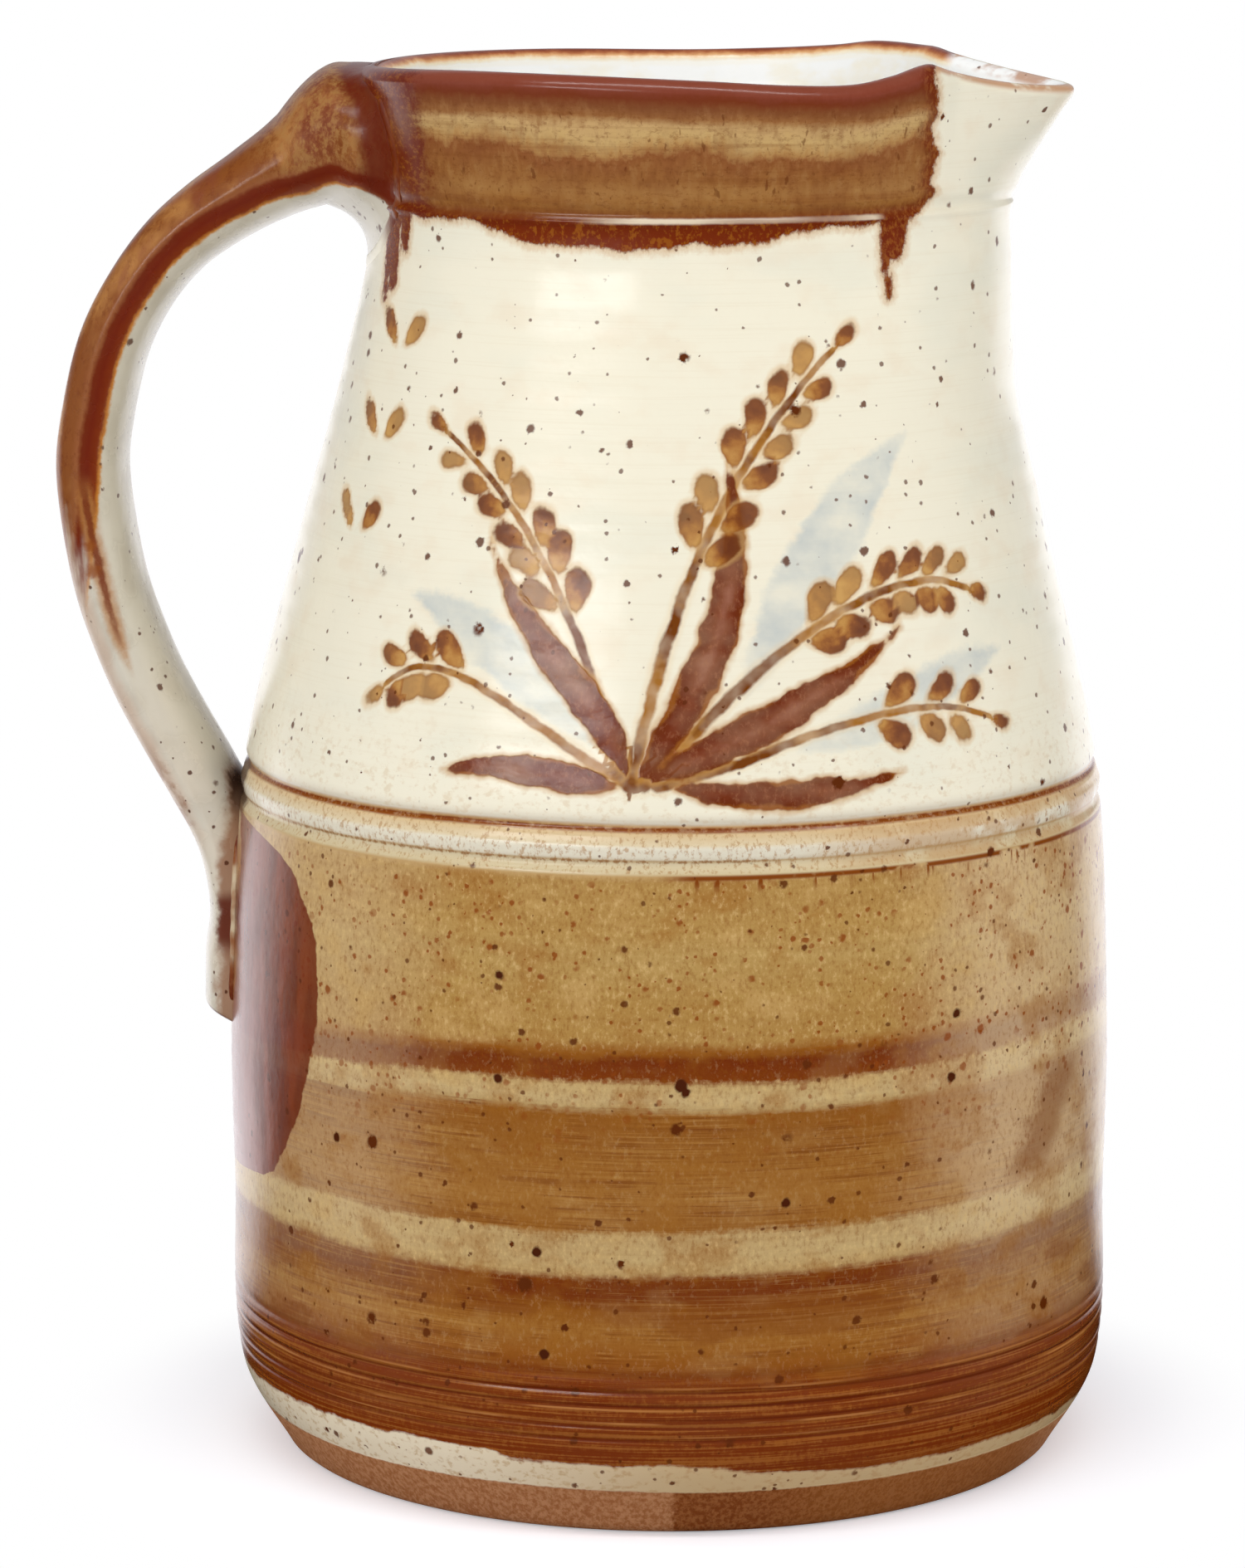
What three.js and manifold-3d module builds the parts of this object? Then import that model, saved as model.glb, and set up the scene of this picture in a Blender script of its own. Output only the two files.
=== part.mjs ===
// A stoneware pitcher: a wheel-thrown body with a pulled pouring lip, and a pulled strap handle that is
// luted to the wall with slip at both ends.
// Millimetres, +Z up. The origin is the centre of the flat foot. The spout points to +X, the handle to -X.

import * as THREE from 'three';
import { mergeVertices } from 'three/addons/utils/BufferGeometryUtils.js';
import Module from 'manifold-3d';

const wasm = await Module();
wasm.setup();

// Body: outer radii and their heights

const FOOT_RADIUS = 70.7;
const FOOT_ARRIS = 0.8;
const BEVEL_RADIUS = 79.1;
const BEVEL_HEIGHT = 15.5;
const BELLY_RADIUS = 80.2;
const BELLY_HEIGHT = 80;
const WAIST_RADIUS = 77.5;
const WAIST_HEIGHT = 126.2;
const SHOULDER_RADIUS = 68.6;
const SHOULDER_HEIGHT = 164;
const THROAT_RADIUS = 60.2;
const THROAT_HEIGHT = 197;
const NECK_RADIUS = 54.9;
const NECK_HEIGHT = 224;
const COLLAR_RADIUS = 56.9;
const RIM_RADIUS = 57.5;
const RIM_HEIGHT = 251.1;

// Body: wall, floor and lip thickness

const FLOOR_THICKNESS = 9;
const FLOOR_CORNER = 24;
const WALL_AT_FLOOR = 7;
const WALL_AT_NECK = 5.2;
const LIP_THICKNESS = 4.8;

// Turned grooves: height, depth and width of each

const WAIST_GROOVES = [
  { z: WAIST_HEIGHT, depth: 0.7, width: 2.6 },
  { z: WAIST_HEIGHT - 6.4, depth: 0.6, width: 2.4 },
];
const NECK_GROOVE = { z: NECK_HEIGHT + 4.3, depth: 0.4, width: 3 };
const HEEL_GROOVE_COUNT = 5;
const HEEL_GROOVE_PITCH = 2.8;
const HEEL_GROOVE_BASE = 19.2;
const HEEL_GROOVE_DEPTH = 0.28;
const HEEL_GROOVE_WIDTH = 1.7;

// Spout: how far the lip is pulled out, how low its tip lies, how far its edge curls out, and the plan
// angle between each of its two straight lips and the X axis

const SPOUT_TIP_RADIUS = 70;
const SPOUT_TIP_DROP = 3.5;
const SPOUT_CURL = 1.6;
const SPOUT_LIP_ANGLE = 50;
const SPOUT_LIP_SAG_RIGHT = 1.7;
const SPOUT_LIP_SAG_LEFT = 1.1;
const SPOUT_TIP_SOFTNESS = 0.07;
const SPOUT_THROAT_PULL = 4.6;
const SPOUT_THROAT_HALF_ANGLE = 62;
const SPOUT_START_HEIGHT = 188;
const EAR_ANGLE = 35;
const EAR_RISE = 1.7;

// Hand-made irregularities: the neck leans towards the spout, and the rim rises and falls behind the ears
// of the spout by these amounts at these azimuths

const NECK_LEAN = 1.5;
const RIM_WAVES = [
  [-180, -0.3], [-150, 0.4], [-128, 0.9], [-106, 0.7], [-84, -0.1], [-66, -1.1], [-54, -1.2], [-45, 0],
  [51, 2.1], [61, 1.1], [74, 0.3], [92, -0.2], [120, 0.2], [150, 0.2], [180, -0.3],
];

// Handle: a strap that leaves the collar, bows out and is pressed on to the wall below the waist

const HANDLE_REACH = 112;
const HANDLE_BOW_HEIGHT = 179;
const HANDLE_THICKNESS = 13.1;
const HANDLE_WIDTH = 26;
const HANDLE_CHANNEL = 0.9;
const HANDLE_ROOT_DEPTH = 26.6;
const HANDLE_ROOT_WIDTH = 50;
const HANDLE_ROOT_DROP = 13.2;
const HANDLE_ROOT_FILLET = 4;
const HANDLE_HEEL_HEIGHT = 98;
const HANDLE_HEEL_THICKNESS = 9.2;
const HANDLE_END_HEIGHT = 78.5;
const HANDLE_END_THICKNESS = 11.4;
const HANDLE_END_WIDTH = 28;
const HANDLE_END_SLANT = 0.45;
const HANDLE_EMBED = 12;

// Joints: the slip layer between strap and wall, and the clearance on either side of it

const SLIP_THICKNESS = 1.3;
const SLIP_SQUEEZE = 0.8;
const JOINT_CLEARANCE = 0.3;

// Fineness of the meshes

const BODY_COLUMNS = 64;
const COLUMN_CROWDING = 0.35;
const STRAP_COLUMNS = 24;
const STRAP_ROWS = 52;

const radians = THREE.MathUtils.degToRad;
const { lerp, smoothstep, clamp } = THREE.MathUtils;

// Value at z of the smooth curve through [z, value] stations, with level ends
function throughStations(stations, z) {
  const last = stations.length - 1;
  if (z <= stations[0][0]) return stations[0][1];
  if (z >= stations[last][0]) return stations[last][1];
  let i = 0;
  while (z > stations[i + 1][0]) i += 1;
  const slope = (k) => {
    const before = stations[Math.max(k - 1, 0)];
    const after = stations[Math.min(k + 1, last)];
    return (after[1] - before[1]) / (after[0] - before[0]);
  };
  const [z0, v0] = stations[i];
  const [z1, v1] = stations[i + 1];
  const span = z1 - z0;
  const t = (z - z0) / span;
  const t2 = t * t;
  const t3 = t2 * t;
  return v0 * (2 * t3 - 3 * t2 + 1) + v1 * (3 * t2 - 2 * t3)
    + span * (slope(i) * (t3 - 2 * t2 + t) + slope(i + 1) * (t3 - t2));
}

const LIP_CENTRE = { r: RIM_RADIUS - LIP_THICKNESS / 2, z: RIM_HEIGHT - LIP_THICKNESS / 2 };
const LIP_BASE_HEIGHT = LIP_CENTRE.z - 2.2;

const WALL_STATIONS = [
  [0, FOOT_RADIUS],
  [BEVEL_HEIGHT, BEVEL_RADIUS],
  [(BEVEL_HEIGHT + BELLY_HEIGHT) / 2, (BEVEL_RADIUS + 3 * BELLY_RADIUS) / 4],
  [BELLY_HEIGHT, BELLY_RADIUS],
  [WAIST_HEIGHT, WAIST_RADIUS],
  [SHOULDER_HEIGHT, SHOULDER_RADIUS],
  [THROAT_HEIGHT, THROAT_RADIUS],
  [NECK_HEIGHT, NECK_RADIUS],
  [LIP_BASE_HEIGHT, COLLAR_RADIUS],
];

const wallRadius = (z) => throughStations(WALL_STATIONS, z);

const heelGrooves = Array.from({ length: HEEL_GROOVE_COUNT }, (_, i) => ({
  z: HEEL_GROOVE_BASE + i * HEEL_GROOVE_PITCH,
  depth: HEEL_GROOVE_DEPTH,
  width: HEEL_GROOVE_WIDTH,
}));
const GROOVES = [...heelGrooves, ...WAIST_GROOVES, NECK_GROOVE];

function grooveDepth(z) {
  return GROOVES.reduce((depth, groove) => {
    const away = Math.abs(z - groove.z) / (groove.width / 2);
    return away < 1 ? depth + groove.depth * (1 - away) : depth;
  }, 0);
}

// Heights from low to high in equal steps, without those that fall in a groove
function plainHeights(low, high, count) {
  const heights = Array.from({ length: count }, (_, i) => lerp(low, high, i / (count - 1)));
  return heights.filter((z) => GROOVES.every((g) => Math.abs(z - g.z) > g.width * 0.7));
}

function grooveHeights() {
  return GROOVES.flatMap((g) => [g.z - g.width / 2, g.z, g.z + g.width / 2]);
}

const byHeight = (a, b) => a - b;

// Half-round lip: from its outer side, at angle 0, over the crest to its inner side
function lipArc(steps, grown) {
  const radius = LIP_THICKNESS / 2 + grown;
  return Array.from({ length: steps + 1 }, (_, i) => {
    const angle = (Math.PI * i) / steps;
    return [LIP_CENTRE.r + radius * Math.cos(angle), LIP_CENTRE.z + radius * Math.sin(angle)];
  });
}

function wallThickness(z) {
  return lerp(WALL_AT_FLOOR, WALL_AT_NECK, smoothstep(z, FLOOR_THICKNESS, NECK_HEIGHT));
}

// Inner side, from under the lip down to the rounded corner and the middle of the floor
function innerProfile() {
  const cornerTop = FLOOR_THICKNESS + FLOOR_CORNER;
  const innerRadius = (z) => wallRadius(z) - wallThickness(z);
  const wall = plainHeights(cornerTop, LIP_BASE_HEIGHT - 3, 17).reverse().map((z) => [innerRadius(z), z]);
  const cornerSteps = 6;
  const corner = Array.from({ length: cornerSteps }, (_, i) => {
    const angle = (Math.PI / 2) * ((i + 1) / cornerSteps);
    const r = innerRadius(cornerTop) - FLOOR_CORNER * (1 - Math.cos(angle));
    return [r, cornerTop - FLOOR_CORNER * Math.sin(angle)];
  });
  const floorMiddle = [(innerRadius(cornerTop) - FLOOR_CORNER) / 2, FLOOR_THICKNESS];
  return [...wall, ...corner, floorMiddle, [0, FLOOR_THICKNESS]];
}

function bodyProfile() {
  const plain = [
    ...plainHeights(FOOT_ARRIS, BEVEL_HEIGHT, 4),
    ...plainHeights(HEEL_GROOVE_BASE + HEEL_GROOVE_COUNT * HEEL_GROOVE_PITCH, WAIST_HEIGHT - 10, 6),
    ...plainHeights(WAIST_HEIGHT + 5, NECK_HEIGHT, 13),
    ...plainHeights(NECK_HEIGHT + 8, LIP_BASE_HEIGHT, 4),
  ];
  const heights = [...plain, ...grooveHeights()].sort(byHeight);
  const outer = heights.map((z) => [wallRadius(z) - grooveDepth(z), z]);
  const underside = [[0, 0], [FOOT_RADIUS / 2, 0], [FOOT_RADIUS - FOOT_ARRIS, 0]];
  return [...underside, ...outer, ...lipArc(6, 0), ...innerProfile()];
}

// Solid that holds everything inside the outer wall, grown outwards by a clearance
function envelopeProfile(grown) {
  const low = HANDLE_END_HEIGHT - 30;
  const heights = Array.from({ length: 28 }, (_, i) => lerp(low, LIP_BASE_HEIGHT, i / 27));
  const wall = heights.map((z) => [wallRadius(z) + grown, z]);
  const outerHalfOfLip = lipArc(8, grown).slice(0, 5);
  const top = RIM_HEIGHT + HANDLE_ROOT_DEPTH;
  return [[0, low], ...wall, ...outerHalfOfLip, [LIP_CENTRE.r, top], [0, top]];
}

// Plan radius of the pulled spout: two straight lips that meet in a soft tip, at azimuth phi
function spoutPlanRadius(phi) {
  const nx = Math.sin(radians(SPOUT_LIP_ANGLE));
  const ny = Math.cos(radians(SPOUT_LIP_ANGLE));
  const side = Math.hypot(Math.sin(phi), SPOUT_TIP_SOFTNESS);
  const reach = SPOUT_TIP_RADIUS * (nx + ny * SPOUT_TIP_SOFTNESS);
  return reach / (nx * Math.cos(phi) + ny * side);
}

// Outward pull of the wall at azimuth phi and height z: broad at the throat, sharp at the lip
function spoutPull(phi, z) {
  const broad = Math.cos(clamp(phi / radians(SPOUT_THROAT_HALF_ANGLE), -1, 1) * Math.PI / 2) ** 2;
  const throat = SPOUT_THROAT_PULL * smoothstep(z, SPOUT_START_HEIGHT, NECK_HEIGHT) * broad;
  const betweenEars = Math.abs(phi) < radians(90 - SPOUT_LIP_ANGLE);
  const lip = betweenEars ? Math.max(spoutPlanRadius(phi) - RIM_RADIUS, 0) : 0;
  const rise = clamp((z - NECK_HEIGHT) / (LIP_CENTRE.z - NECK_HEIGHT), 0, 1);
  const towardsTip = lip / (SPOUT_TIP_RADIUS - RIM_RADIUS);
  const curl = SPOUT_CURL * towardsTip * clamp((z - LIP_CENTRE.z) / (RIM_HEIGHT - LIP_CENTRE.z), 0, 1);
  return lerp(throat, lip, rise ** 1.35) + curl;
}

// Height that the rim gains or loses at azimuth phi: low at the tip of the spout, high at its two ears
function rimRise(phi) {
  const degrees = THREE.MathUtils.radToDeg(phi);
  const share = Math.abs(degrees) / EAR_ANGLE;
  const sag = degrees < 0 ? SPOUT_LIP_SAG_RIGHT : SPOUT_LIP_SAG_LEFT;
  if (share < 1) return lerp(-SPOUT_TIP_DROP, EAR_RISE, share ** sag);
  const ears = [[-EAR_ANGLE, EAR_RISE], [EAR_ANGLE, EAR_RISE]];
  const line = [...RIM_WAVES, ...ears].sort((a, b) => a[0] - b[0]);
  return throughStations(line, degrees);
}

// Turns a point of the thrown round form into one of the finished form
function shapeByHand(x, y, z) {
  const r = Math.hypot(x, y);
  if (r < 1e-9) return [0, 0, z];
  const turned = Math.atan2(y, x);
  const phi = turned - COLUMN_CROWDING * Math.sin(turned);
  const pulled = r + spoutPull(phi, z);
  const lean = NECK_LEAN * smoothstep(z, WAIST_HEIGHT, NECK_HEIGHT);
  const lifted = z + rimRise(phi) * smoothstep(z, NECK_HEIGHT, RIM_HEIGHT);
  return [pulled * Math.cos(phi) + lean, pulled * Math.sin(phi), lifted];
}

// Throws a profile of [r, z] points into a round form and shapes it by hand
function throwForm(profile) {
  const points = profile.map(([r, z]) => new THREE.Vector2(r, z));
  const lathe = new THREE.LatheGeometry(points, BODY_COLUMNS);
  lathe.rotateX(Math.PI / 2);
  const position = lathe.getAttribute('position');
  for (let i = 0; i < position.count; i += 1) {
    position.setXYZ(i, ...shapeByHand(position.getX(i), position.getY(i), position.getZ(i)));
  }
  return closedGeometry(lathe);
}

function closedGeometry(geometry) {
  geometry.deleteAttribute('normal');
  geometry.deleteAttribute('uv');
  return mergeVertices(geometry, 1e-4);
}

function toSolid(geometry) {
  const vertProperties = Float32Array.from(geometry.getAttribute('position').array);
  const triVerts = Uint32Array.from(geometry.getIndex().array);
  return new wasm.Manifold(new wasm.Mesh({ numProp: 3, vertProperties, triVerts }));
}

function toGeometry(solid) {
  const mesh = solid.getMesh();
  const geometry = new THREE.BufferGeometry();
  geometry.setAttribute('position', new THREE.BufferAttribute(Float32Array.from(mesh.vertProperties), 3));
  geometry.setIndex(new THREE.BufferAttribute(Uint32Array.from(mesh.triVerts), 1));
  geometry.computeVertexNormals();
  return geometry;
}

// Centre line of the strap in side view, as distance from the axis and height, with the weights that
// shape its section: flare deepens and splay widens it towards the root, fillet deepens it further inside
// the wall, press flattens it on to the wall, and end thickens and slants its cut end
const collarRoot = { x: wallRadius(RIM_HEIGHT - HANDLE_ROOT_DROP), z: RIM_HEIGHT - HANDLE_ROOT_DROP };
const bow = { x: HANDLE_REACH - HANDLE_THICKNESS / 2, z: HANDLE_BOW_HEIGHT };
const heel = { x: wallRadius(HANDLE_HEEL_HEIGHT), z: HANDLE_HEEL_HEIGHT };

const upperPoint = (across, up) => [lerp(collarRoot.x, bow.x, across), lerp(bow.z, collarRoot.z, up)];
const lowerPoint = (across, up) => [lerp(heel.x, bow.x, across), lerp(heel.z, bow.z, up)];

const strapStations = [
  {
    at: [collarRoot.x - HANDLE_EMBED, collarRoot.z - HANDLE_ROOT_FILLET / 2],
    flare: 1, splay: 1.8, fillet: 1,
  },
  { at: [collarRoot.x - 1.5, collarRoot.z - HANDLE_ROOT_FILLET / 4], flare: 1, splay: 1, fillet: 0.6 },
  { at: upperPoint(0.082, 1), flare: 1, splay: 0.7 },
  { at: upperPoint(0.221, 0.93), flare: 0.35, splay: 0.42 },
  { at: upperPoint(0.386, 0.852), flare: 0.17, splay: 0.24 },
  { at: upperPoint(0.553, 0.764), flare: 0.09, splay: 0.12 },
  { at: upperPoint(0.681, 0.676), flare: 0.04, splay: 0.05 },
  { at: upperPoint(0.808, 0.542) },
  { at: upperPoint(0.912, 0.372) },
  { at: upperPoint(0.979, 0.144) },
  { at: upperPoint(1, 0) },
  { at: lowerPoint(0.96, 0.858) },
  { at: lowerPoint(0.873, 0.716) },
  { at: lowerPoint(0.76, 0.609) },
  { at: lowerPoint(0.618, 0.502) },
  { at: lowerPoint(0.439, 0.394) },
  { at: lowerPoint(0.243, 0.284) },
  { at: lowerPoint(0.11, 0.202), press: 0.15 },
  { at: lowerPoint(0.04, 0.117), press: 0.7 },
  { at: lowerPoint(0, 0), press: 1 },
  { at: [heel.x, lerp(heel.z, HANDLE_END_HEIGHT, 0.5)], press: 1, end: 0.8 },
  { at: [heel.x, HANDLE_END_HEIGHT], press: 1, end: 1 },
];

function strapSection(fraction) {
  const place = fraction * (strapStations.length - 1);
  const blend = (key) => throughStations(strapStations.map((s, i) => [i, s[key] ?? 0]), place);
  const flare = blend('flare');
  const press = blend('press');
  const end = blend('end');
  const free = lerp(HANDLE_THICKNESS, HANDLE_ROOT_DEPTH, flare) + HANDLE_ROOT_FILLET * blend('fillet');
  const pressed = lerp(HANDLE_HEEL_THICKNESS, HANDLE_END_THICKNESS, end);
  return {
    thickness: lerp(free, pressed, press),
    width: lerp(lerp(HANDLE_WIDTH, HANDLE_ROOT_WIDTH, blend('splay')), HANDLE_END_WIDTH, press),
    channel: HANDLE_CHANNEL * (1 - clamp(flare * 3, 0, 1)) * (1 - press),
    slant: HANDLE_END_SLANT * end,
    upright: clamp(flare, 0, 1),
  };
}

// Oval section of the strap with a shallow channel along its outer face
function ovalPoint(section, angle, grown) {
  const squareness = 2 / 2.4;
  const rounded = (v) => Math.sign(v) * Math.abs(v) ** squareness;
  const across = (section.width / 2 + grown) * rounded(Math.cos(angle));
  const outward = (section.thickness / 2 + grown) * rounded(Math.sin(angle));
  const middle = 1 - clamp(Math.abs(across) / (section.width * 0.36), 0, 1) ** 2;
  return { across, outward: outward > 0 ? outward - section.channel * middle : outward };
}

const ROOT_DIRECTION = new THREE.Vector3(-Math.cos(radians(12)), 0, -Math.sin(radians(12)));

// Strap of the handle, closed at both ends; grown widens its section all round
function strapSolid(grown) {
  const stationVectors = strapStations.map(({ at }) => new THREE.Vector3(-at[0], 0, at[1]));
  const line = new THREE.CatmullRomCurve3(stationVectors, false, 'centripetal');
  const positions = [];
  const ends = [];
  for (let row = 0; row <= STRAP_ROWS; row += 1) {
    const fraction = row / STRAP_ROWS;
    const section = strapSection(fraction);
    const centre = line.getPoint(fraction);
    const along = line.getTangent(fraction).lerp(ROOT_DIRECTION, section.upright).normalize();
    const outwards = new THREE.Vector3(along.z, 0, -along.x);
    if (row === 0 || row === STRAP_ROWS) ends.push(centre);
    for (let column = 0; column < STRAP_COLUMNS; column += 1) {
      const { across, outward } = ovalPoint(section, (2 * Math.PI * column) / STRAP_COLUMNS, grown);
      const point = centre.clone().addScaledVector(outwards, outward);
      point.addScaledVector(along, -section.slant * outward);
      positions.push(point.x, across, point.z);
    }
  }
  ends.forEach((centre) => positions.push(centre.x, centre.y, centre.z));
  return toSolid(loftGeometry(positions, STRAP_ROWS, STRAP_COLUMNS));
}

// Rings of equal count joined into a closed skin; the last two vertices are the middles of the ends
function loftGeometry(positions, rows, columns) {
  const index = [];
  const ring = (row, column) => row * columns + (column % columns);
  const firstMiddle = (rows + 1) * columns;
  for (let column = 0; column < columns; column += 1) {
    for (let row = 0; row < rows; row += 1) {
      const a = ring(row, column);
      const b = ring(row, column + 1);
      const c = ring(row + 1, column + 1);
      const d = ring(row + 1, column);
      index.push(a, c, b, a, d, c);
    }
    index.push(firstMiddle, ring(0, column), ring(0, column + 1));
    index.push(firstMiddle + 1, ring(rows, column + 1), ring(rows, column));
  }
  const geometry = new THREE.BufferGeometry();
  geometry.setAttribute('position', new THREE.Float32BufferAttribute(positions, 3));
  geometry.setIndex(index);
  return geometry;
}

const envelope = (grown) => toSolid(throwForm(envelopeProfile(grown)));

// Half of space above or below a level, as a block wider than the pitcher
function halfSpace(level, above) {
  const size = 4 * HANDLE_REACH;
  const block = new THREE.BoxGeometry(size, size, size);
  block.translate(0, 0, level + (above ? size / 2 : -size / 2));
  return toSolid(closedGeometry(block));
}

function makeHandle() {
  return strapSolid(0).subtract(envelope(2 * JOINT_CLEARANCE + SLIP_THICKNESS));
}

// Slip squeezed between the strap and the wall, at the upper or the lower joint
function makeSlipSeam(above) {
  const layer = envelope(JOINT_CLEARANCE + SLIP_THICKNESS).subtract(envelope(JOINT_CLEARANCE));
  return strapSolid(SLIP_SQUEEZE).intersect(layer).intersect(halfSpace(HANDLE_BOW_HEIGHT, above));
}

const glaze = (color, roughness) => new THREE.MeshStandardMaterial({ color, roughness, metalness: 0 });
const creamGlaze = glaze(0xd9d3bd, 0.35);
const ironGlaze = glaze(0x8a5a3c, 0.3);
const slip = glaze(0x5a2e1c, 0.45);

function piece(name, geometry, material) {
  const mesh = new THREE.Mesh(geometry, material);
  mesh.name = name;
  return mesh;
}

const pitcher = new THREE.Group();
pitcher.add(
  piece('pitcher_body', throwForm(bodyProfile()), creamGlaze),
  piece('handle', toGeometry(makeHandle()), ironGlaze),
  piece('upper_slip_seam', toGeometry(makeSlipSeam(true)), slip),
  piece('lower_slip_seam', toGeometry(makeSlipSeam(false)), slip),
);

export default pitcher;
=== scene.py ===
import math
from functools import cached_property

import bpy
import numpy as np
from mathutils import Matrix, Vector


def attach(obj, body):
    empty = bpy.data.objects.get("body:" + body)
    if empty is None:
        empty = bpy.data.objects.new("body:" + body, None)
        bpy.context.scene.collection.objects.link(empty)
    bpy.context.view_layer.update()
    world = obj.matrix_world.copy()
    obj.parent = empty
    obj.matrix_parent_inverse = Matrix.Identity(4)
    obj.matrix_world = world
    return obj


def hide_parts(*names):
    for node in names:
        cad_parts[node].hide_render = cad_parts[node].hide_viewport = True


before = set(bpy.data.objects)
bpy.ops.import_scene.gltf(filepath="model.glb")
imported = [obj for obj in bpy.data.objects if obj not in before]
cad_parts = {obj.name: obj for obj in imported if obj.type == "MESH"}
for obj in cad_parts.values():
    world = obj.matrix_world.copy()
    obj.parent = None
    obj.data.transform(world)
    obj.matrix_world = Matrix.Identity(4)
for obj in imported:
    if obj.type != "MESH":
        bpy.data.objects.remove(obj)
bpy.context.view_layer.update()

# The pitcher's thrown form, in millimetres, as in the CAD source

RIM_RADIUS, RIM_HEIGHT, LIP_THICKNESS = 57.5, 251.1, 4.8
WAIST_HEIGHT, NECK_HEIGHT = 126.2, 224.0
FLOOR_THICKNESS, FLOOR_CORNER, FOOT_RADIUS = 9.0, 24.0, 70.7
LIP_ROUND = LIP_THICKNESS / 2
LIP_R, LIP_Z = RIM_RADIUS - LIP_ROUND, RIM_HEIGHT - LIP_ROUND
LIP_BASE = LIP_Z - 2.2
WALL = [(0, FOOT_RADIUS), (15.5, 79.1), (47.75, 79.925), (80, 80.2), (WAIST_HEIGHT, 77.5), (164, 68.6),
        (197, 60.2), (NECK_HEIGHT, 54.9), (LIP_BASE, 56.9)]
TIP_RADIUS, TIP_DROP, TIP_SOFTNESS, LIP_ANGLE = 70.0, 3.5, 0.07, math.radians(50)
EAR_ANGLE, EAR_RISE, NECK_LEAN = 35, 1.7, 1.5
RIM_WAVES = [(-180, -0.3), (-150, 0.4), (-128, 0.9), (-106, 0.7), (-84, -0.1), (-66, -1.1), (-54, -1.2),
             (-45, 0), (-35, 1.7), (35, 1.7), (51, 2.1), (61, 1.1), (74, 0.3), (92, -0.2), (120, 0.2),
             (150, 0.2), (180, -0.3)]
GROOVES = [(19.2 + 2.8 * i, 0.28, 1.7) for i in range(5)]
GROOVES += [(WAIST_HEIGHT, 0.7, 2.6), (WAIST_HEIGHT - 6.4, 0.6, 2.4), (NECK_HEIGHT + 4.3, 0.4, 3.0)]
RIDGES = [(122.7, 0.35, 2.6), (226.9, 0.3, 1.5)]

# The azimuth of the part that faces the camera
FRONT = math.radians(-86.5)

# Columns of the meshes round the body, the strap and a roll of slip, and one millimetre in metres
BODY_COLUMNS, STRAP_COLUMNS, ROLL_COLUMNS, MM = 272, 120, 16, 0.001


def smoothstep(x, low, high):
    t = np.clip((np.asarray(x, float) - low) / (high - low), 0, 1)
    return t * t * (3 - 2 * t)


def lerp(a, b, t):
    return a + (b - a) * t


def plateau(x, low, full, still, high):
    """Smooth rise from low to full and fall from still to high."""
    return smoothstep(x, low, full) * (1 - smoothstep(x, still, high))


def hump(x):
    """1 at 0, with a smooth fall to 0 at -1 and 1."""
    return np.cos(np.clip(x, -1, 1) * math.pi / 2) ** 2


def through(stations, x):
    """Smooth curve through (x, value) stations, level beyond its ends."""
    xs, vs = np.array(stations, float).T
    last = len(xs) - 1
    x = np.clip(x, xs[0], xs[-1])
    i = np.clip(np.searchsorted(xs, x) - 1, 0, last - 1)
    before, after = np.maximum(np.arange(last + 1) - 1, 0), np.minimum(np.arange(last + 1) + 1, last)
    slope = (vs[after] - vs[before]) / (xs[after] - xs[before])
    span = xs[i + 1] - xs[i]
    t = (x - xs[i]) / span
    t2, t3 = t * t, t * t * t
    return (vs[i] * (2 * t3 - 3 * t2 + 1) + vs[i + 1] * (3 * t2 - 2 * t3)
            + span * (slope[i] * (t3 - 2 * t2 + t) + slope[i + 1] * (t3 - t2)))


def wall_radius(z):
    return through(WALL, z)


def wall_thickness(z):
    return lerp(7.0, 5.2, smoothstep(z, FLOOR_THICKNESS, NECK_HEIGHT))


def spout_pull(phi, z):
    throat = 4.6 * smoothstep(z, 188, NECK_HEIGHT) * hump(phi / math.radians(62))
    nx, ny = math.sin(LIP_ANGLE), math.cos(LIP_ANGLE)
    side = np.hypot(np.sin(phi), TIP_SOFTNESS)
    plan = TIP_RADIUS * (nx + ny * TIP_SOFTNESS) / (nx * np.cos(phi) + ny * side)
    lip = np.where(np.abs(phi) < math.pi / 2 - LIP_ANGLE, np.maximum(plan - RIM_RADIUS, 0), 0)
    rise = np.clip((z - NECK_HEIGHT) / (LIP_Z - NECK_HEIGHT), 0, 1)
    curl = 1.6 * lip / (TIP_RADIUS - RIM_RADIUS) * np.clip((z - LIP_Z) / (RIM_HEIGHT - LIP_Z), 0, 1)
    return lerp(throat, lip, rise ** 1.35) + curl


def rim_rise(phi):
    degrees = np.degrees(phi)
    share = np.minimum(np.abs(degrees) / EAR_ANGLE, 1)
    lip = lerp(-TIP_DROP, EAR_RISE, share ** np.where(degrees < 0, 1.7, 1.1))
    return np.where(np.abs(degrees) < EAR_ANGLE, lip, through(RIM_WAVES, degrees))


def shaped(r, phi, z):
    """Points of the finished form for points of the thrown round form."""
    pulled = r + spout_pull(phi, z)
    lean = NECK_LEAN * smoothstep(z, WAIST_HEIGHT, NECK_HEIGHT)
    lifted = z + rim_rise(phi) * smoothstep(z, NECK_HEIGHT, RIM_HEIGHT)
    return np.stack(np.broadcast_arrays(pulled * np.cos(phi) + lean, pulled * np.sin(phi), lifted), -1)


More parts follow.
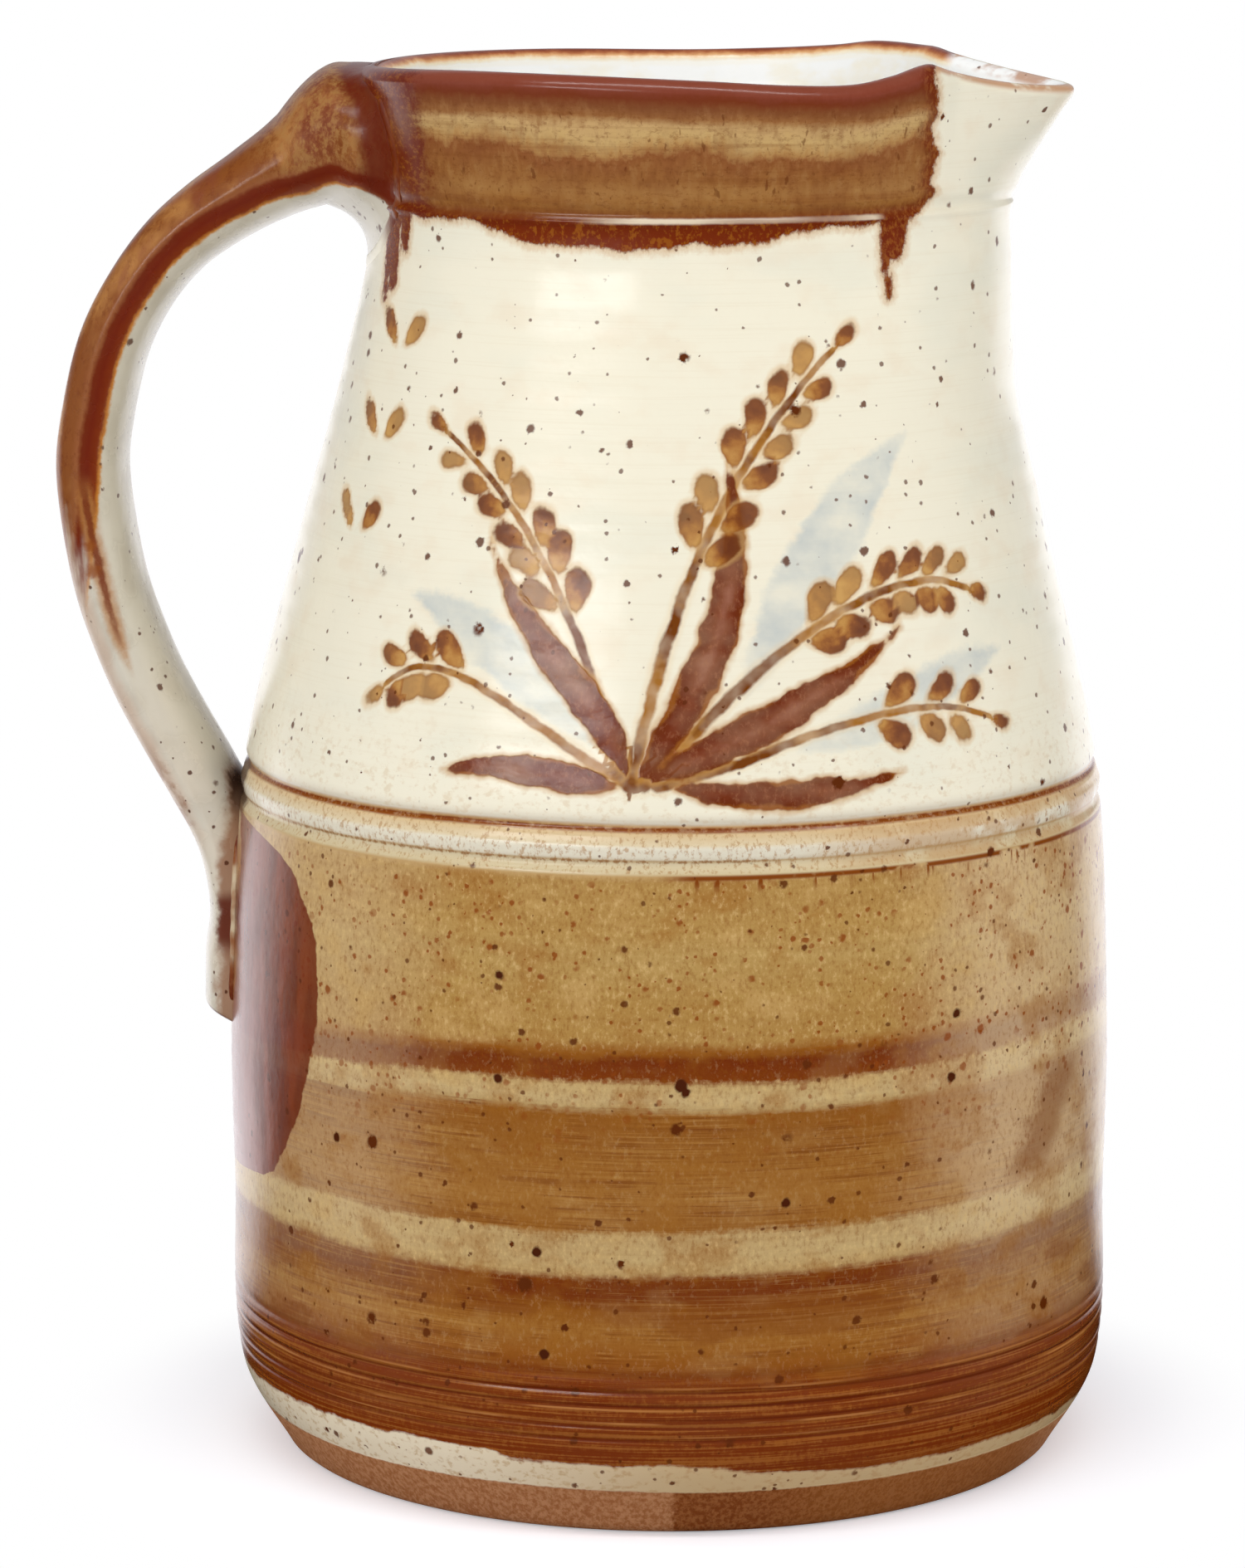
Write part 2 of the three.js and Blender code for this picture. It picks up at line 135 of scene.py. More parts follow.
def turned_relief(phi, z):
    """Grooves, ridges, throwing rings and slow warp of the outer wall, as an addition to its radius."""
    relief = np.zeros(np.broadcast(phi, z).shape)
    for z0, depth, width in GROOVES:
        relief -= depth * hump((z - z0) / (width * 0.62))
    for z0, height, width in RIDGES:
        relief += height * hump((z - z0) / (width * 0.6))
    upper, lower = plateau(z, 129, 140, 236, 244), plateau(z, 34, 44, 108, 116)
    spiral = phi / (2 * math.pi)
    relief += 0.018 * upper * np.sin(2 * math.pi * (z / 5.3 + spiral) + 1.3 * np.sin(z / 13))
    relief += 0.05 * lower * np.sin(2 * math.pi * (z / 4.1 + spiral) + 1.7 * np.sin(z / 9))
    relief += 0.4 * upper * hump(wrapped(phi - FRONT + 0.2) / 1.1) * np.cos((z - 171) / 78 * 2 * math.pi)
    relief += 0.1 * np.sin(2 * phi + z / 37) * smoothstep(z, 5, 30)
    relief += 0.07 * np.sin(3 * phi - z / 23 + 1) * smoothstep(z, 5, 30)
    return relief


def steps(low, high, size):
    """Even steps of about a size from low up to but without high."""
    return np.linspace(low, high, max(2, round((high - low) / size) + 1))[:-1]


def profile():
    """Rows of (r, z) from the middle of the foot, over the rim, to the middle of the floor, with the first
    rows of the outer wall, the inner wall and the floor."""
    foot = [(r, 0.0) for r in np.linspace(0, FOOT_RADIUS - 0.8, 8)]
    heights = np.concatenate([
        steps(0.8, 3, 0.7), steps(3, 17, 1.3), steps(17, 33, 0.5), steps(33, 114, 1.7), steps(114, 130, 0.55),
        steps(130, NECK_HEIGHT, 0.9), steps(NECK_HEIGHT, 231, 0.45), steps(231, LIP_BASE, 0.8)])
    wall = [(FOOT_RADIUS - 0.3, 0.2)] + [(wall_radius(z), z) for z in heights]
    lip = [(LIP_R + LIP_ROUND * math.cos(a), LIP_Z + LIP_ROUND * math.sin(a))
           for a in np.linspace(0, math.pi, 19)]
    corner_top = FLOOR_THICKNESS + FLOOR_CORNER
    inner = np.concatenate([steps(corner_top, 190, 6.5), steps(190, LIP_BASE - 1, 1.7), [LIP_BASE - 1]])[::-1]
    inner = [(wall_radius(z) - wall_thickness(z), z) for z in inner]
    middle = inner[-1][0] - FLOOR_CORNER
    corner = [(middle + FLOOR_CORNER * math.cos(a), corner_top - FLOOR_CORNER * math.sin(a))
              for a in np.linspace(0, math.pi / 2, 11)[1:]]
    floor = [(r, FLOOR_THICKNESS) for r in np.linspace(middle, 0, 7)[1:]]
    crest = len(foot) + len(wall) + 9
    bottom = len(foot) + len(wall) + len(lip) + len(inner) + len(corner) - 1
    return np.array(foot + wall + lip + inner + corner + floor), (len(foot), crest, bottom)


def column_azimuths(count):
    """Azimuths of the columns, closest together at the front and at the spout; the first lies at the back."""
    away = np.linspace(-180, 180, 7201)
    density = 1 + 1.5 * np.exp(-((away / 60) ** 4)) + 0.7 * np.exp(-(((away - 86.5) / 14) ** 2))
    total = np.concatenate([[0], np.cumsum((density[1:] + density[:-1]) / 2)])
    places = np.linspace(0, total[-1], count + 1)[:-1]
    return np.radians(np.interp(places, total, away))


def squared(v, power):
    """A sine or cosine that makes a circle squarer the lower the power."""
    return np.sign(v) * np.abs(v) ** power


def wrapped(angle):
    return (angle + math.pi) % (2 * math.pi) - math.pi


# Half-width of the second dip round the handle's end, by height

PATCH = [(50, -20), (52, -2), (54, 34), (59, 46), (75, 56), (95, 59), (108, 53), (116, 36), (120, -20)]

# The largest specks of the belly: degrees round from the front, height, radius

LARGE_SPECKS = [(1, 82, 1.2), (1.5, 80.8, 0.8), (37, 80, 0.9), (38, 91, 0.85), (-22, 82, 0.8),
                (-22, 100, 0.75), (-17, 52, 0.9), (-16, 34, 0.9), (14, 61, 0.85), (-47, 67, 0.8)]


# Strokes of the brushed design, drawn on the wall as (u, z): u runs along the wall to the right of the front


def bezier(points, count=40):
    level = np.array(points, float)[:, None, :]
    t = np.linspace(0, 1, count)[None, :, None]
    while len(level) > 1:
        level = level[:-1] * (1 - t) + level[1:] * t
    return level[0]


def nearest_on(line, u, z):
    """Distance to a polyline, the same with a sign that is positive on its left, and how far along it is."""
    best = np.full(u.shape, 1e9)
    signed, along = np.zeros(u.shape), np.zeros(u.shape)
    for k in range(len(line) - 1):
        a, d = line[k], line[k + 1] - line[k]
        t = np.clip(((u - a[0]) * d[0] + (z - a[1]) * d[1]) / (d @ d), 0, 1)
        du, dz = u - a[0] - t * d[0], z - a[1] - t * d[1]
        distance = np.hypot(du, dz)
        closer = distance < best
        best = np.where(closer, distance, best)
        signed = np.where(closer, distance * np.sign(d[0] * dz - d[1] * du + 1e-12), signed)
        along = np.where(closer, (k + t) / (len(line) - 1), along)
    return best, signed, along


def leaf_width(along, half, fullest=0.4):
    """Half-width along a leaf-shaped stroke that is pointed at both ends."""
    return half * np.sin(math.pi * along ** (math.log(0.5) / math.log(fullest))) ** 0.8


# Reed sprays: stems with paired grains, long leaves, and broad pale washes behind them

STEMS = [
    ([(-7, 133), (-2, 160), (6, 186), (27, 205)], 0.8, (0.5, 6)),
    ([(-8, 133), (-16, 156), (-22, 178), (-43, 190)], 0.7, (0.46, 6)),
    ([(-5, 133), (12, 152), (34, 172), (57, 163)], 0.78, (0.5, 6)),
    ([(-9, 134), (-26, 143), (-42, 158), (-55, 147)], 0.64, (0.62, 3)),
    ([(-3, 133), (16, 137), (38, 150), (62, 141)], 0.64, (0.66, 3)),
]
LEAVES = [
    ([(-6, 134), (6, 150), (13, 166), (8, 187)], 3.5),
    ([(-8, 135), (-12, 148), (-27, 157), (-33, 173)], 3.1),
    ([(-4, 134), (10, 141), (25, 146), (41, 158)], 3.3),
    ([(-9, 133), (-20, 134), (-31, 137), (-42, 134)], 2.6),
    ([(0, 133), (16, 130), (28, 131), (42, 134)], 2.5),
]
WASHES = [
    ([(12, 148), (20, 166), (30, 180), (42, 190)], 6.0),
    ([(-14, 140), (-22, 150), (-36, 160), (-50, 163)], 5.0),
    ([(22, 139), (38, 142), (52, 150), (66, 152)], 4.6),
]
DASHES = [((-56, 204), (-51, 209)), ((-59, 204), (-64, 210)), ((-60, 188), (-55, 193)),
          ((-63, 188), (-68, 194)), ((-65, 172), (-60, 177)), ((-68, 172), (-73, 178))]


def grains():
    """Short strokes in pairs along the upper part of each stem, with one at its tip."""
    strokes = []
    for points, _, (start, pairs) in STEMS:
        line = bezier(points)
        for i in range(pairs):
            share = start + (1 - start) * i / pairs
            k = min(int(share * (len(line) - 1)), len(line) - 2)
            heading = line[k + 1] - line[k]
            heading = heading / np.linalg.norm(heading)
            across = np.array([-heading[1], heading[0]])
            size = 1.12 - 0.28 * i / pairs
            for side in (-1, 1):
                root = line[k] + across * side * 1.3 + heading * (1.1 if side > 0 else -0.6)
                tip = root + (heading * 0.86 + across * side * 0.56) * 6.6 * size
                strokes.append((root, tip, 2.05 * size))
        last = line[-1] - line[-3]
        strokes.append((line[-1], line[-1] + last / np.linalg.norm(last) * 6, 1.5))
    return strokes


def brushwork(u, z, turned_over=False):
    """Fields of the design: leaves, grains and washes in millimetres, below 0 inside, and stems in
    half-widths."""
    far = np.full(u.shape, 9.0)
    names = ("stem", "stem_near", "leaf", "grain", "grain_way", "grain_tone", "wash")
    fields = {name: far.copy() for name in names}
    for points, half, _ in STEMS:
        distance, signed, along = nearest_on(bezier(points), u, z)
        closer = distance < fields["stem_near"]
        width = half * (1.35 - 0.7 * along)
        fields["stem"] = np.where(closer, signed / width, fields["stem"])
        fields["stem_near"] = np.where(closer, distance, fields["stem_near"])
    for points, half in LEAVES:
        distance, _, along = nearest_on(bezier(points), u, z)
        edge = distance - leaf_width(np.clip(along, 0.004, 0.996), half)
        fields["leaf"] = np.minimum(fields["leaf"], edge)
    for points, half in WASHES:
        distance, _, along = nearest_on(bezier(points), u, z)
        edge = distance - leaf_width(np.clip(along, 0.004, 0.996), half, 0.5)
        fields["wash"] = np.minimum(fields["wash"], edge)
    strokes = grains()
    if not turned_over:
        strokes += [(np.array(a, float), np.array(b, float), 1.9) for a, b in DASHES]
    for k, (root, tip, half) in enumerate(strokes):
        middle, reach = (root + tip) / 2, (tip - root) / 2
        length = np.linalg.norm(reach)
        e = reach / length
        du, dz = u - middle[0], z - middle[1]
        p = (du * e[0] + dz * e[1]) / length
        q = (dz * e[0] - du * e[1]) / (half * (1 + 0.25 * p))
        edge = (p * p + q * q - 1) * half / 2
        closer = edge < fields["grain"]
        fields["grain_way"] = np.where(closer, p, fields["grain_way"])
        fields["grain_tone"] = np.where(closer, 0.618 * k % 1, fields["grain_tone"])
        fields["grain"] = np.minimum(fields["grain"], edge)
    return fields


def segment_field(u, z, a, b, r0, r1):
    """Distance inside a tapered run of glaze from a to b, positive within it."""
    d = np.subtract(b, a)
    t = np.clip(((u - a[0]) * d[0] + (z - a[1]) * d[1]) / (d @ d), 0, 1)
    return lerp(r0, r1, t) - np.hypot(u - a[0] - t * d[0], z - a[1] - t * d[1])


def iron_field(points, away, u, z):
    """Millimetres inside the iron glaze of the collar, which ends raggedly beside the spout."""
    x, y = points[..., 0] * 0.998 + points[..., 1] * 0.061, points[..., 1]
    ragged = 0.6 * np.sin(z * 0.83) + 0.35 * np.sin(z * 2.1 + 1) + 0.1 * np.sin(z * 4.7 + 2)
    end = 45.6 - 3.4 * smoothstep(-z, -231, -227) + ragged - x - 0.05 * (y + 35) + 8.8 * smoothstep(y, 5, 25)
    low = 222.7 + 0.35 * np.sin(7 * away) + 0.3 * np.sin(17 * away + 1) + 0.2 * np.sin(41 * away)
    low = low + 3.6 * (smoothstep(-u, 22, 46) + smoothstep(u, 6, 34))
    field = np.minimum(z - low, end)
    runs = [((39.6, 226), (39.4, 221.8), 3.0, 2.4), ((37.6, 224), (37.7, 217.5), 1.0, 0.7),
            ((38.4, 216.4), (38.6, 213.4), 0.75, 0.5), ((-63, 226), (-62.6, 214.5), 2.4, 1.7),
            ((-65.2, 224), (-65.6, 211.5), 1.6, 1.0), ((-58.6, 226), (-58.4, 220.6), 2.2, 1.2)]
    for a, b, r0, r1 in runs:
        field = np.maximum(field, segment_field(u, z, a, b, r0, r1))
    return field


def grid_mesh(name, grid, caps, uv_of, fields, material):
    """Mesh of a grid of points whose columns close. caps tells which ends are one point; without it the rows
    close too."""
    rows, columns = grid.shape[:2]
    low, high = caps or (False, False)
    start, stop = int(low), rows - int(high)

    def flat(values):
        kept = values[start:stop].reshape((-1,) + values.shape[2:])
        return np.concatenate([values[:start, 0], kept, values[stop:, 0]])

    def number(row, column):
        if low and row == 0:
            return 0
        if high and row == rows - 1:
            return start + (stop - start) * columns
        return start + (row % rows - start) * columns + column % columns

    faces, corners = [], []
    for row in range(rows - 1 if caps else rows):
        for column in range(columns):
            ring = [(row, column), (row, column + 1), (row + 1, column + 1), (row + 1, column)]
            if low and row == 0:
                ring = [ring[0], ring[2], ring[3]]
            elif high and row == rows - 2:
                ring = ring[:3]
            faces.append([number(*c) for c in ring])
            corners += [(row, *c) for c in ring]
    mesh = bpy.data.meshes.new(name)
    mesh.from_pydata((flat(grid) * MM).tolist(), [], faces)
    mesh.shade_smooth()
    layer = mesh.uv_layers.new(name="OFBake")
    layer.data.foreach_set("uv", uv_of(np.array(corners)).astype(np.float32).ravel())
    for key, values in fields.items():
        attribute = mesh.attributes.new(key, "FLOAT", "POINT")
        attribute.data.foreach_set("value", flat(values).astype(np.float32))
    mesh.materials.append(material)
    mesh.update()
    piece = bpy.data.objects.new(name, mesh)
    bpy.context.scene.collection.objects.link(piece)
    return piece


def make_body(material):
    rows, (outer, crest, floor) = profile()
    away = column_azimuths(BODY_COLUMNS)[None, :]
    phi = wrapped(FRONT + away)
    r, z = rows[:, :1], rows[:, 1:]
    last = len(rows) - 1
    index = np.arange(len(rows))[:, None]
    on_wall = (index >= outer) & (index <= crest)
    inside = (index > crest) & (index < floor)
    rings = 0.3 * np.sin(2 * math.pi * (z / 7.5 - phi / (2 * math.pi))) * smoothstep(z, 30, 60)
    relief = np.where(on_wall, turned_relief(phi, z), 0)
    relief += np.where(inside, rings * (1 - smoothstep(z, 232, 240)), 0)
    grid = shaped(r + relief, phi, z + 0 * phi)
    u = away * wall_radius(z)
    wide_z, wide_away = z + 0 * phi, away + 0 * z
    returning = u * (1 - smoothstep(np.abs(away), 2.1, 3.1))
    degrees = np.degrees(away)
    right = plateau(degrees, 5, 75, 120, 170)
    left = plateau(-degrees, 10, 60, 120, 170) * (1 - smoothstep(z, 70, 84))
    sway = 2.1 * (1 - np.cos(2 * away)) - 4.9 * right - 2.4 * left
    band = wide_z + sway * plateau(z, 30, 50, 90, 118)
    patch_u = wrapped(phi - math.pi) * wall_radius(z)
    patch = through(PATCH, z) - np.abs(patch_u)
    fields = {
        "height": wide_z, "across": returning, "beside": np.abs(patch_u), "band": band, "patch": patch,
        "inner": np.where(index > crest, 1.0, 0.0) + 0 * phi,
        "iron": iron_field(grid, wide_away, u, wide_z),
    }
    window = (wide_z > 124) & (wide_z < 216) & on_wall
    far = np.full(grid.shape[:2], 9.0)
    for turned_over in (False, True):
        across = wrapped(wide_away - math.pi) * -1.08 if turned_over else wide_away
        near = window & (np.abs(across) < math.radians(80))
        drawn = brushwork((across * wall_radius(z))[near], wide_z[near], turned_over)
        for key, values in drawn.items():
            layer = fields.setdefault(key, far.copy())
            layer[near] = values
    arc = np.concatenate([[0], np.cumsum(np.hypot(*np.diff(rows, axis=0).T))])
    unwrapped = np.concatenate([away[0], away[0, :1] + 2 * math.pi])

    def uv_of(corners):
        face_row, row, column = corners.T
        s, turn = arc[row], unwrapped[column]
        across = (turn + math.pi) / (2 * math.pi)
        up, down = ((s - arc[a]) / (arc[b] - arc[a]) for a, b in ((outer, crest), (crest, floor)))
        strip = np.stack([0.003 + 0.994 * across, lerp(0.375, 0.997, up)], -1)
        lining = np.stack([0.37 + 0.62 * across, lerp(0.37, 0.003, down)], -1)
        sole = 0.088 * (s / arc[outer])[:, None] * np.stack([np.cos(turn), np.sin(turn)], -1) + (0.092, 0.275)
        bed = 0.085 * ((arc[last] - s) / (arc[last] - arc[floor]))[:, None]
        bed = bed * np.stack([-np.cos(turn), np.sin(turn)], -1) + (0.272, 0.275)
        face = face_row[:, None]
        return np.select([face < outer, face < crest, face < floor], [sole, strip, lining], bed)

    return grid_mesh("thrown_body", grid, (True, True), uv_of, fields, material)


# Handle: the strap of the CAD source, with its root drawn out over the collar and its edges softened

ROOT_HEIGHT, BOW_HEIGHT, HEEL_HEIGHT, STRAP_END = RIM_HEIGHT - 13.2, 179.0, 98.0, 78.5
STRAP_REACH, STRAP_THICKNESS = 112, 13.1
COLLAR_ROOT = (wall_radius(ROOT_HEIGHT), ROOT_HEIGHT)
BOW = (STRAP_REACH - STRAP_THICKNESS / 2, BOW_HEIGHT)
HEEL = (wall_radius(HEEL_HEIGHT), HEEL_HEIGHT)


def upper(across, up):
    return lerp(COLLAR_ROOT[0], BOW[0], across), lerp(BOW[1], COLLAR_ROOT[1], up)


def lower(across, up):
    return lerp(HEEL[0], BOW[0], across), lerp(HEEL[1], BOW[1], up)


# Each station: place, flare, splay, fillet, press, end. What is left out at the end of one is 0.
STATIONS = [
    ((COLLAR_ROOT[0] - 12, COLLAR_ROOT[1] - 2), 1, 1.0, 1),
    ((COLLAR_ROOT[0] - 1.5, COLLAR_ROOT[1] - 1), 1, 0.8, 0.6),
    (upper(0.082, 1), 0.9, 0.58),
    (upper(0.221, 0.93), 0.38, 0.36),
    (upper(0.386, 0.852), 0.17, 0.2),
    (upper(0.553, 0.764), 0.09, 0.1),
    (upper(0.681, 0.676), 0.04, 0.04),
    (upper(0.808, 0.542),),
    (upper(0.912, 0.372),),
    (upper(0.979, 0.144),),
    (upper(1, 0),),
    (lower(0.96, 0.858),),
    (lower(0.873, 0.716),),
    (lower(0.76, 0.609),),
    (lower(0.618, 0.502),),
    (lower(0.439, 0.394),),
    (lower(0.243, 0.284),),
    (lower(0.11, 0.202), 0, 0, 0, 0.15),
    (lower(0.04, 0.117), 0, 0, 0, 0.7),
    (lower(0, 0), 0, 0, 0, 1),
    ((HEEL[0], lerp(HEEL[1], STRAP_END, 0.5)), 0, 0, 0, 1, 0.8),
    ((HEEL[0], STRAP_END), 0, 0, 0, 1, 1),
]
STRAP = [(*station, 0, 0, 0, 0, 0)[:6] for station in STATIONS]

# The share of the strap in which its root opens out on to the collar
ROOT_SHARE = 0.2


def centre_line(fraction):
    """Points of the centripetal curve through the strap's stations, and its direction there."""
    p = np.array([s[0] for s in STRAP])
    p = np.concatenate([[2 * p[0] - p[1]], p, [2 * p[-1] - p[-2]]])
    count = len(STRAP)

    def place(f):
        whole = np.clip(np.asarray(f) * (count - 1), 0, count - 1 - 1e-9)
        i = whole.astype(int)
        t = (whole - i)[..., None]
        a, b, c, d = p[i], p[i + 1], p[i + 2], p[i + 3]
        gap = [np.sqrt(np.linalg.norm(q1 - q0, axis=-1))[..., None] for q0, q1 in ((a, b), (b, c), (c, d))]
        m1 = ((b - a) / gap[0] - (c - a) / (gap[0] + gap[1]) + (c - b) / gap[1]) * gap[1]
        m2 = ((c - b) / gap[1] - (d - b) / (gap[1] + gap[2]) + (d - c) / gap[2]) * gap[1]
        return b + m1 * t + (-3 * b + 3 * c - 2 * m1 - m2) * t ** 2 + (2 * b - 2 * c + m1 + m2) * t ** 3

    ahead, behind = place(np.minimum(fraction + 1e-4, 1)), place(np.maximum(fraction - 1e-4, 0))
    along = ahead - behind
    return place(fraction), along / np.linalg.norm(along, axis=-1, keepdims=True)


def strap_points(fraction, angle):
    """Points of the strap, the outward direction of its section there, and its outward coordinate."""
    place = fraction * (len(STRAP) - 1)
    keys = [through([(i, s[k]) for i, s in enumerate(STRAP)], place) for k in range(1, 6)]
    flare, splay, fillet, press, end = keys
    thickness = lerp(lerp(STRAP_THICKNESS, 26.6, flare) + 4 * fillet, lerp(9.2, 11.4, end), press)
    width = lerp(lerp(26, 50, splay), 28, press)
    channel = 0.9 * (1 - np.clip(flare * 3, 0, 1)) * (1 - press)
    centre, along = centre_line(fraction)
    upright = np.clip(flare, 0, 1)[..., None]
    root = np.array([math.cos(math.radians(12)), -math.sin(math.radians(12))])
    along = along * (1 - upright) + root * upright
    along /= np.linalg.norm(along, axis=-1, keepdims=True)
    across = width / 2 * squared(np.cos(angle), 2 / 2.4)
    outward = thickness / 2 * squared(np.sin(angle), 2 / 2.4)
    hollow = 1 - np.clip(np.abs(across) / (width * 0.36), 0, 1) ** 2
    outward = np.where(outward > 0, outward - channel * hollow, outward)
    ridge = 0.3 * np.exp(-(((outward - 0.9) / 0.8) ** 2)) * (1 - np.clip(flare * 2, 0, 1)) * (1 - press)
    across = across + np.sign(np.cos(angle)) * ridge
    normal = np.stack([-along[..., 1], along[..., 0]], -1)
    point = centre + normal * outward[..., None] - along * (0.45 * end * outward)[..., None]
    facing = np.stack([-normal[..., 0] * np.sin(angle), np.cos(angle), normal[..., 1] * np.sin(angle)], -1)
    return np.stack([-point[..., 0], across, point[..., 1]], -1), facing, outward


def wall_at(points):
    """Radius and azimuth of points about the leaning axis, and the wall's radius at their height."""
    lean = NECK_LEAN * smoothstep(points[..., 2], WAIST_HEIGHT, NECK_HEIGHT)
    x, y = points[..., 0] - lean, points[..., 1]
    phi = np.arctan2(y, x)
    z = points[..., 2] - rim_rise(phi) * smoothstep(points[..., 2], NECK_HEIGHT, RIM_HEIGHT)
    lip = LIP_R + np.sqrt(np.clip(LIP_ROUND ** 2 - (z - LIP_Z) ** 2, 0, None))
    wall = np.where(z > LIP_Z, lip, wall_radius(z) + turned_relief(phi, z))
    return np.hypot(x, y), phi, wall, lean


def on_wall(points, offset):
    _, phi, wall, lean = wall_at(points)
    r = wall + offset
    return np.stack([r * np.cos(phi) + lean, r * np.sin(phi), points[..., 2]], -1)


def outside_wall(points):
    r, _, wall, _ = wall_at(points)
    return r - wall


def make_handle(material):
    """The strap from its feathered root on the collar to its cut end, and the root's outline on the wall."""
    columns = STRAP_COLUMNS
    angle = (-math.pi / 2 + 2 * math.pi * np.arange(columns) / columns)[None, :]
    fine = np.linspace(0, ROOT_SHARE, 900)[:, None]
    points, facing, _ = strap_points(fine + 0 * angle, angle + 0 * fine)
    gap = outside_wall(points)
    spread = 4.4 - 1.4 * np.sin(angle[0]) ** 2 + 5.5 * np.clip(-np.sin(angle[0]), 0, 1) ** 2
    met, clear = np.zeros(columns), np.zeros(columns)
    for c in range(columns):
        met[c] = fine[np.nonzero(gap[:, c] <= 0)[0].max(initial=0), 0]
        beyond = np.nonzero((gap[:, c] >= spread[c]) & (fine[:, 0] > met[c]))[0]
        clear[c] = fine[beyond.min(), 0]
    for _ in range(3):
        clear = (np.roll(clear, 1) + 2 * clear + np.roll(clear, -1)) / 4
    crease, crease_facing, _ = strap_points(met[None, :], angle)
    free, _, _ = strap_points(clear[None, :], angle)
    outline = crease + crease_facing * spread[None, :, None]
    crest = RIM_HEIGHT - 0.35
    outline[..., 2] = np.minimum(outline[..., 2], crest)
    outline = on_wall(outline, -0.06)

    shares = np.linspace(0, 1, 12)[:-1, None, None]
    flare = outline * (1 - shares) ** 2 + crease * 2 * shares * (1 - shares) + free * shares ** 2
    middle = outline.mean(1, keepdims=True)
    backing = on_wall(np.concatenate([lerp(middle, outline, t) for t in (0, 0.35, 0.7, 0.97)]), -0.5)
    backing[0] = backing[0, :1]

    joined = clear[None, :] + (ROOT_SHARE - clear[None, :]) * np.linspace(0, 1, 34)[:-1, None]
    rest = np.linspace(ROOT_SHARE, 1, 250)[:, None] + 0 * angle
    fraction = np.concatenate([joined, rest])
    strap, facing, outward = strap_points(fraction, angle + 0 * fraction)
    gap = outside_wall(strap)
    near = (fraction > 0.7) & (gap < 2.2)
    swell = 0.55 * np.clip(1 - gap / 2.2, 0, 1.1) ** 2
    strap = np.where(near[..., None], strap + facing * swell[..., None], strap)
    sunk = (fraction > 0.7) & (outside_wall(strap) < -0.3)
    strap = np.where(sunk[..., None], on_wall(strap, -0.3), strap)

    _, down = centre_line(np.array([1.0]))
    down = np.array([-down[0, 0], 0, down[0, 1]])
    ring, hub = strap[-1:], strap[-1:].mean(1, keepdims=True)
    close = [hub + (ring - hub) * scale + down * drop
             for scale, drop in ((0.985, 0.3), (0.95, 0.6), (0.86, 0.85), (0.6, 0.95), (0.3, 1.0), (0, 1.0))]
    grid = np.concatenate([backing, flare, strap, *close])

    places, _ = centre_line(np.linspace(0, 1, 800))
    run = np.concatenate([[0], np.cumsum(np.linalg.norm(np.diff(places, axis=0), axis=1))])
    along = np.interp(fraction, np.linspace(0, 1, 800), run) - 12
    start_along = np.linspace(0, 1, 11)[:, None] * along[:1]
    _, _, crease_outward = strap_points(met[None, :], angle)
    start_outward = crease_outward + 0 * start_along
    under, closing = len(backing), len(close)
    along = np.concatenate([np.zeros((under, columns)), start_along, along,
                            np.full((closing, columns), along[-1, 0])])
    outward = np.concatenate([np.repeat(start_outward[:1], under, 0), start_outward, outward,
                              np.repeat(outward[-1:], closing, 0)])
    edge = through([(0, -4.4), (9, -2.8), (17, -0.6), (27, 0.4), (40, 0.6), (84, 0.6), (94, 2.2), (102, 4.6),
                    (112, 8), (220, 8)], along)
    streak = through([(0, -20), (60, 0.0), (88, 0.3), (104, 0.35), (118, -0.3), (130, -3), (220, -3)], along)
    rows = len(grid)
    ends = np.zeros((rows, columns))
    ends[-closing:] = 1
    fields = {"along": along, "back": outward - edge, "outward": outward, "cut": ends,
              "seam": outside_wall(grid), "streak": streak - np.abs(outward + 0.6 - 0.35 * np.sin(along / 6))}
    first, last = under, rows - closing - 1

    def uv_of(corners):
        face_row, row, column = corners.T
        turn = 2 * math.pi * column / columns
        around = np.stack([np.cos(turn), np.sin(turn)], -1)
        down = (row - first) / (last - first)
        strip = np.stack([lerp(0.004, 0.996, down), 0.34 + 0.65 * column / columns], -1)
        pad_root = 0.155 * (row / first)[:, None] * around + (0.16, 0.165)
        pad_end = 0.155 * ((rows - 1 - row) / (rows - 1 - last))[:, None] * around * (-1, 1) + (0.5, 0.165)
        face = face_row[:, None]
        return np.select([face < first, face < last], [pad_root, strip], pad_end)

    return grid_mesh("strap_handle", grid, (True, True), uv_of, fields, material), outline[0]


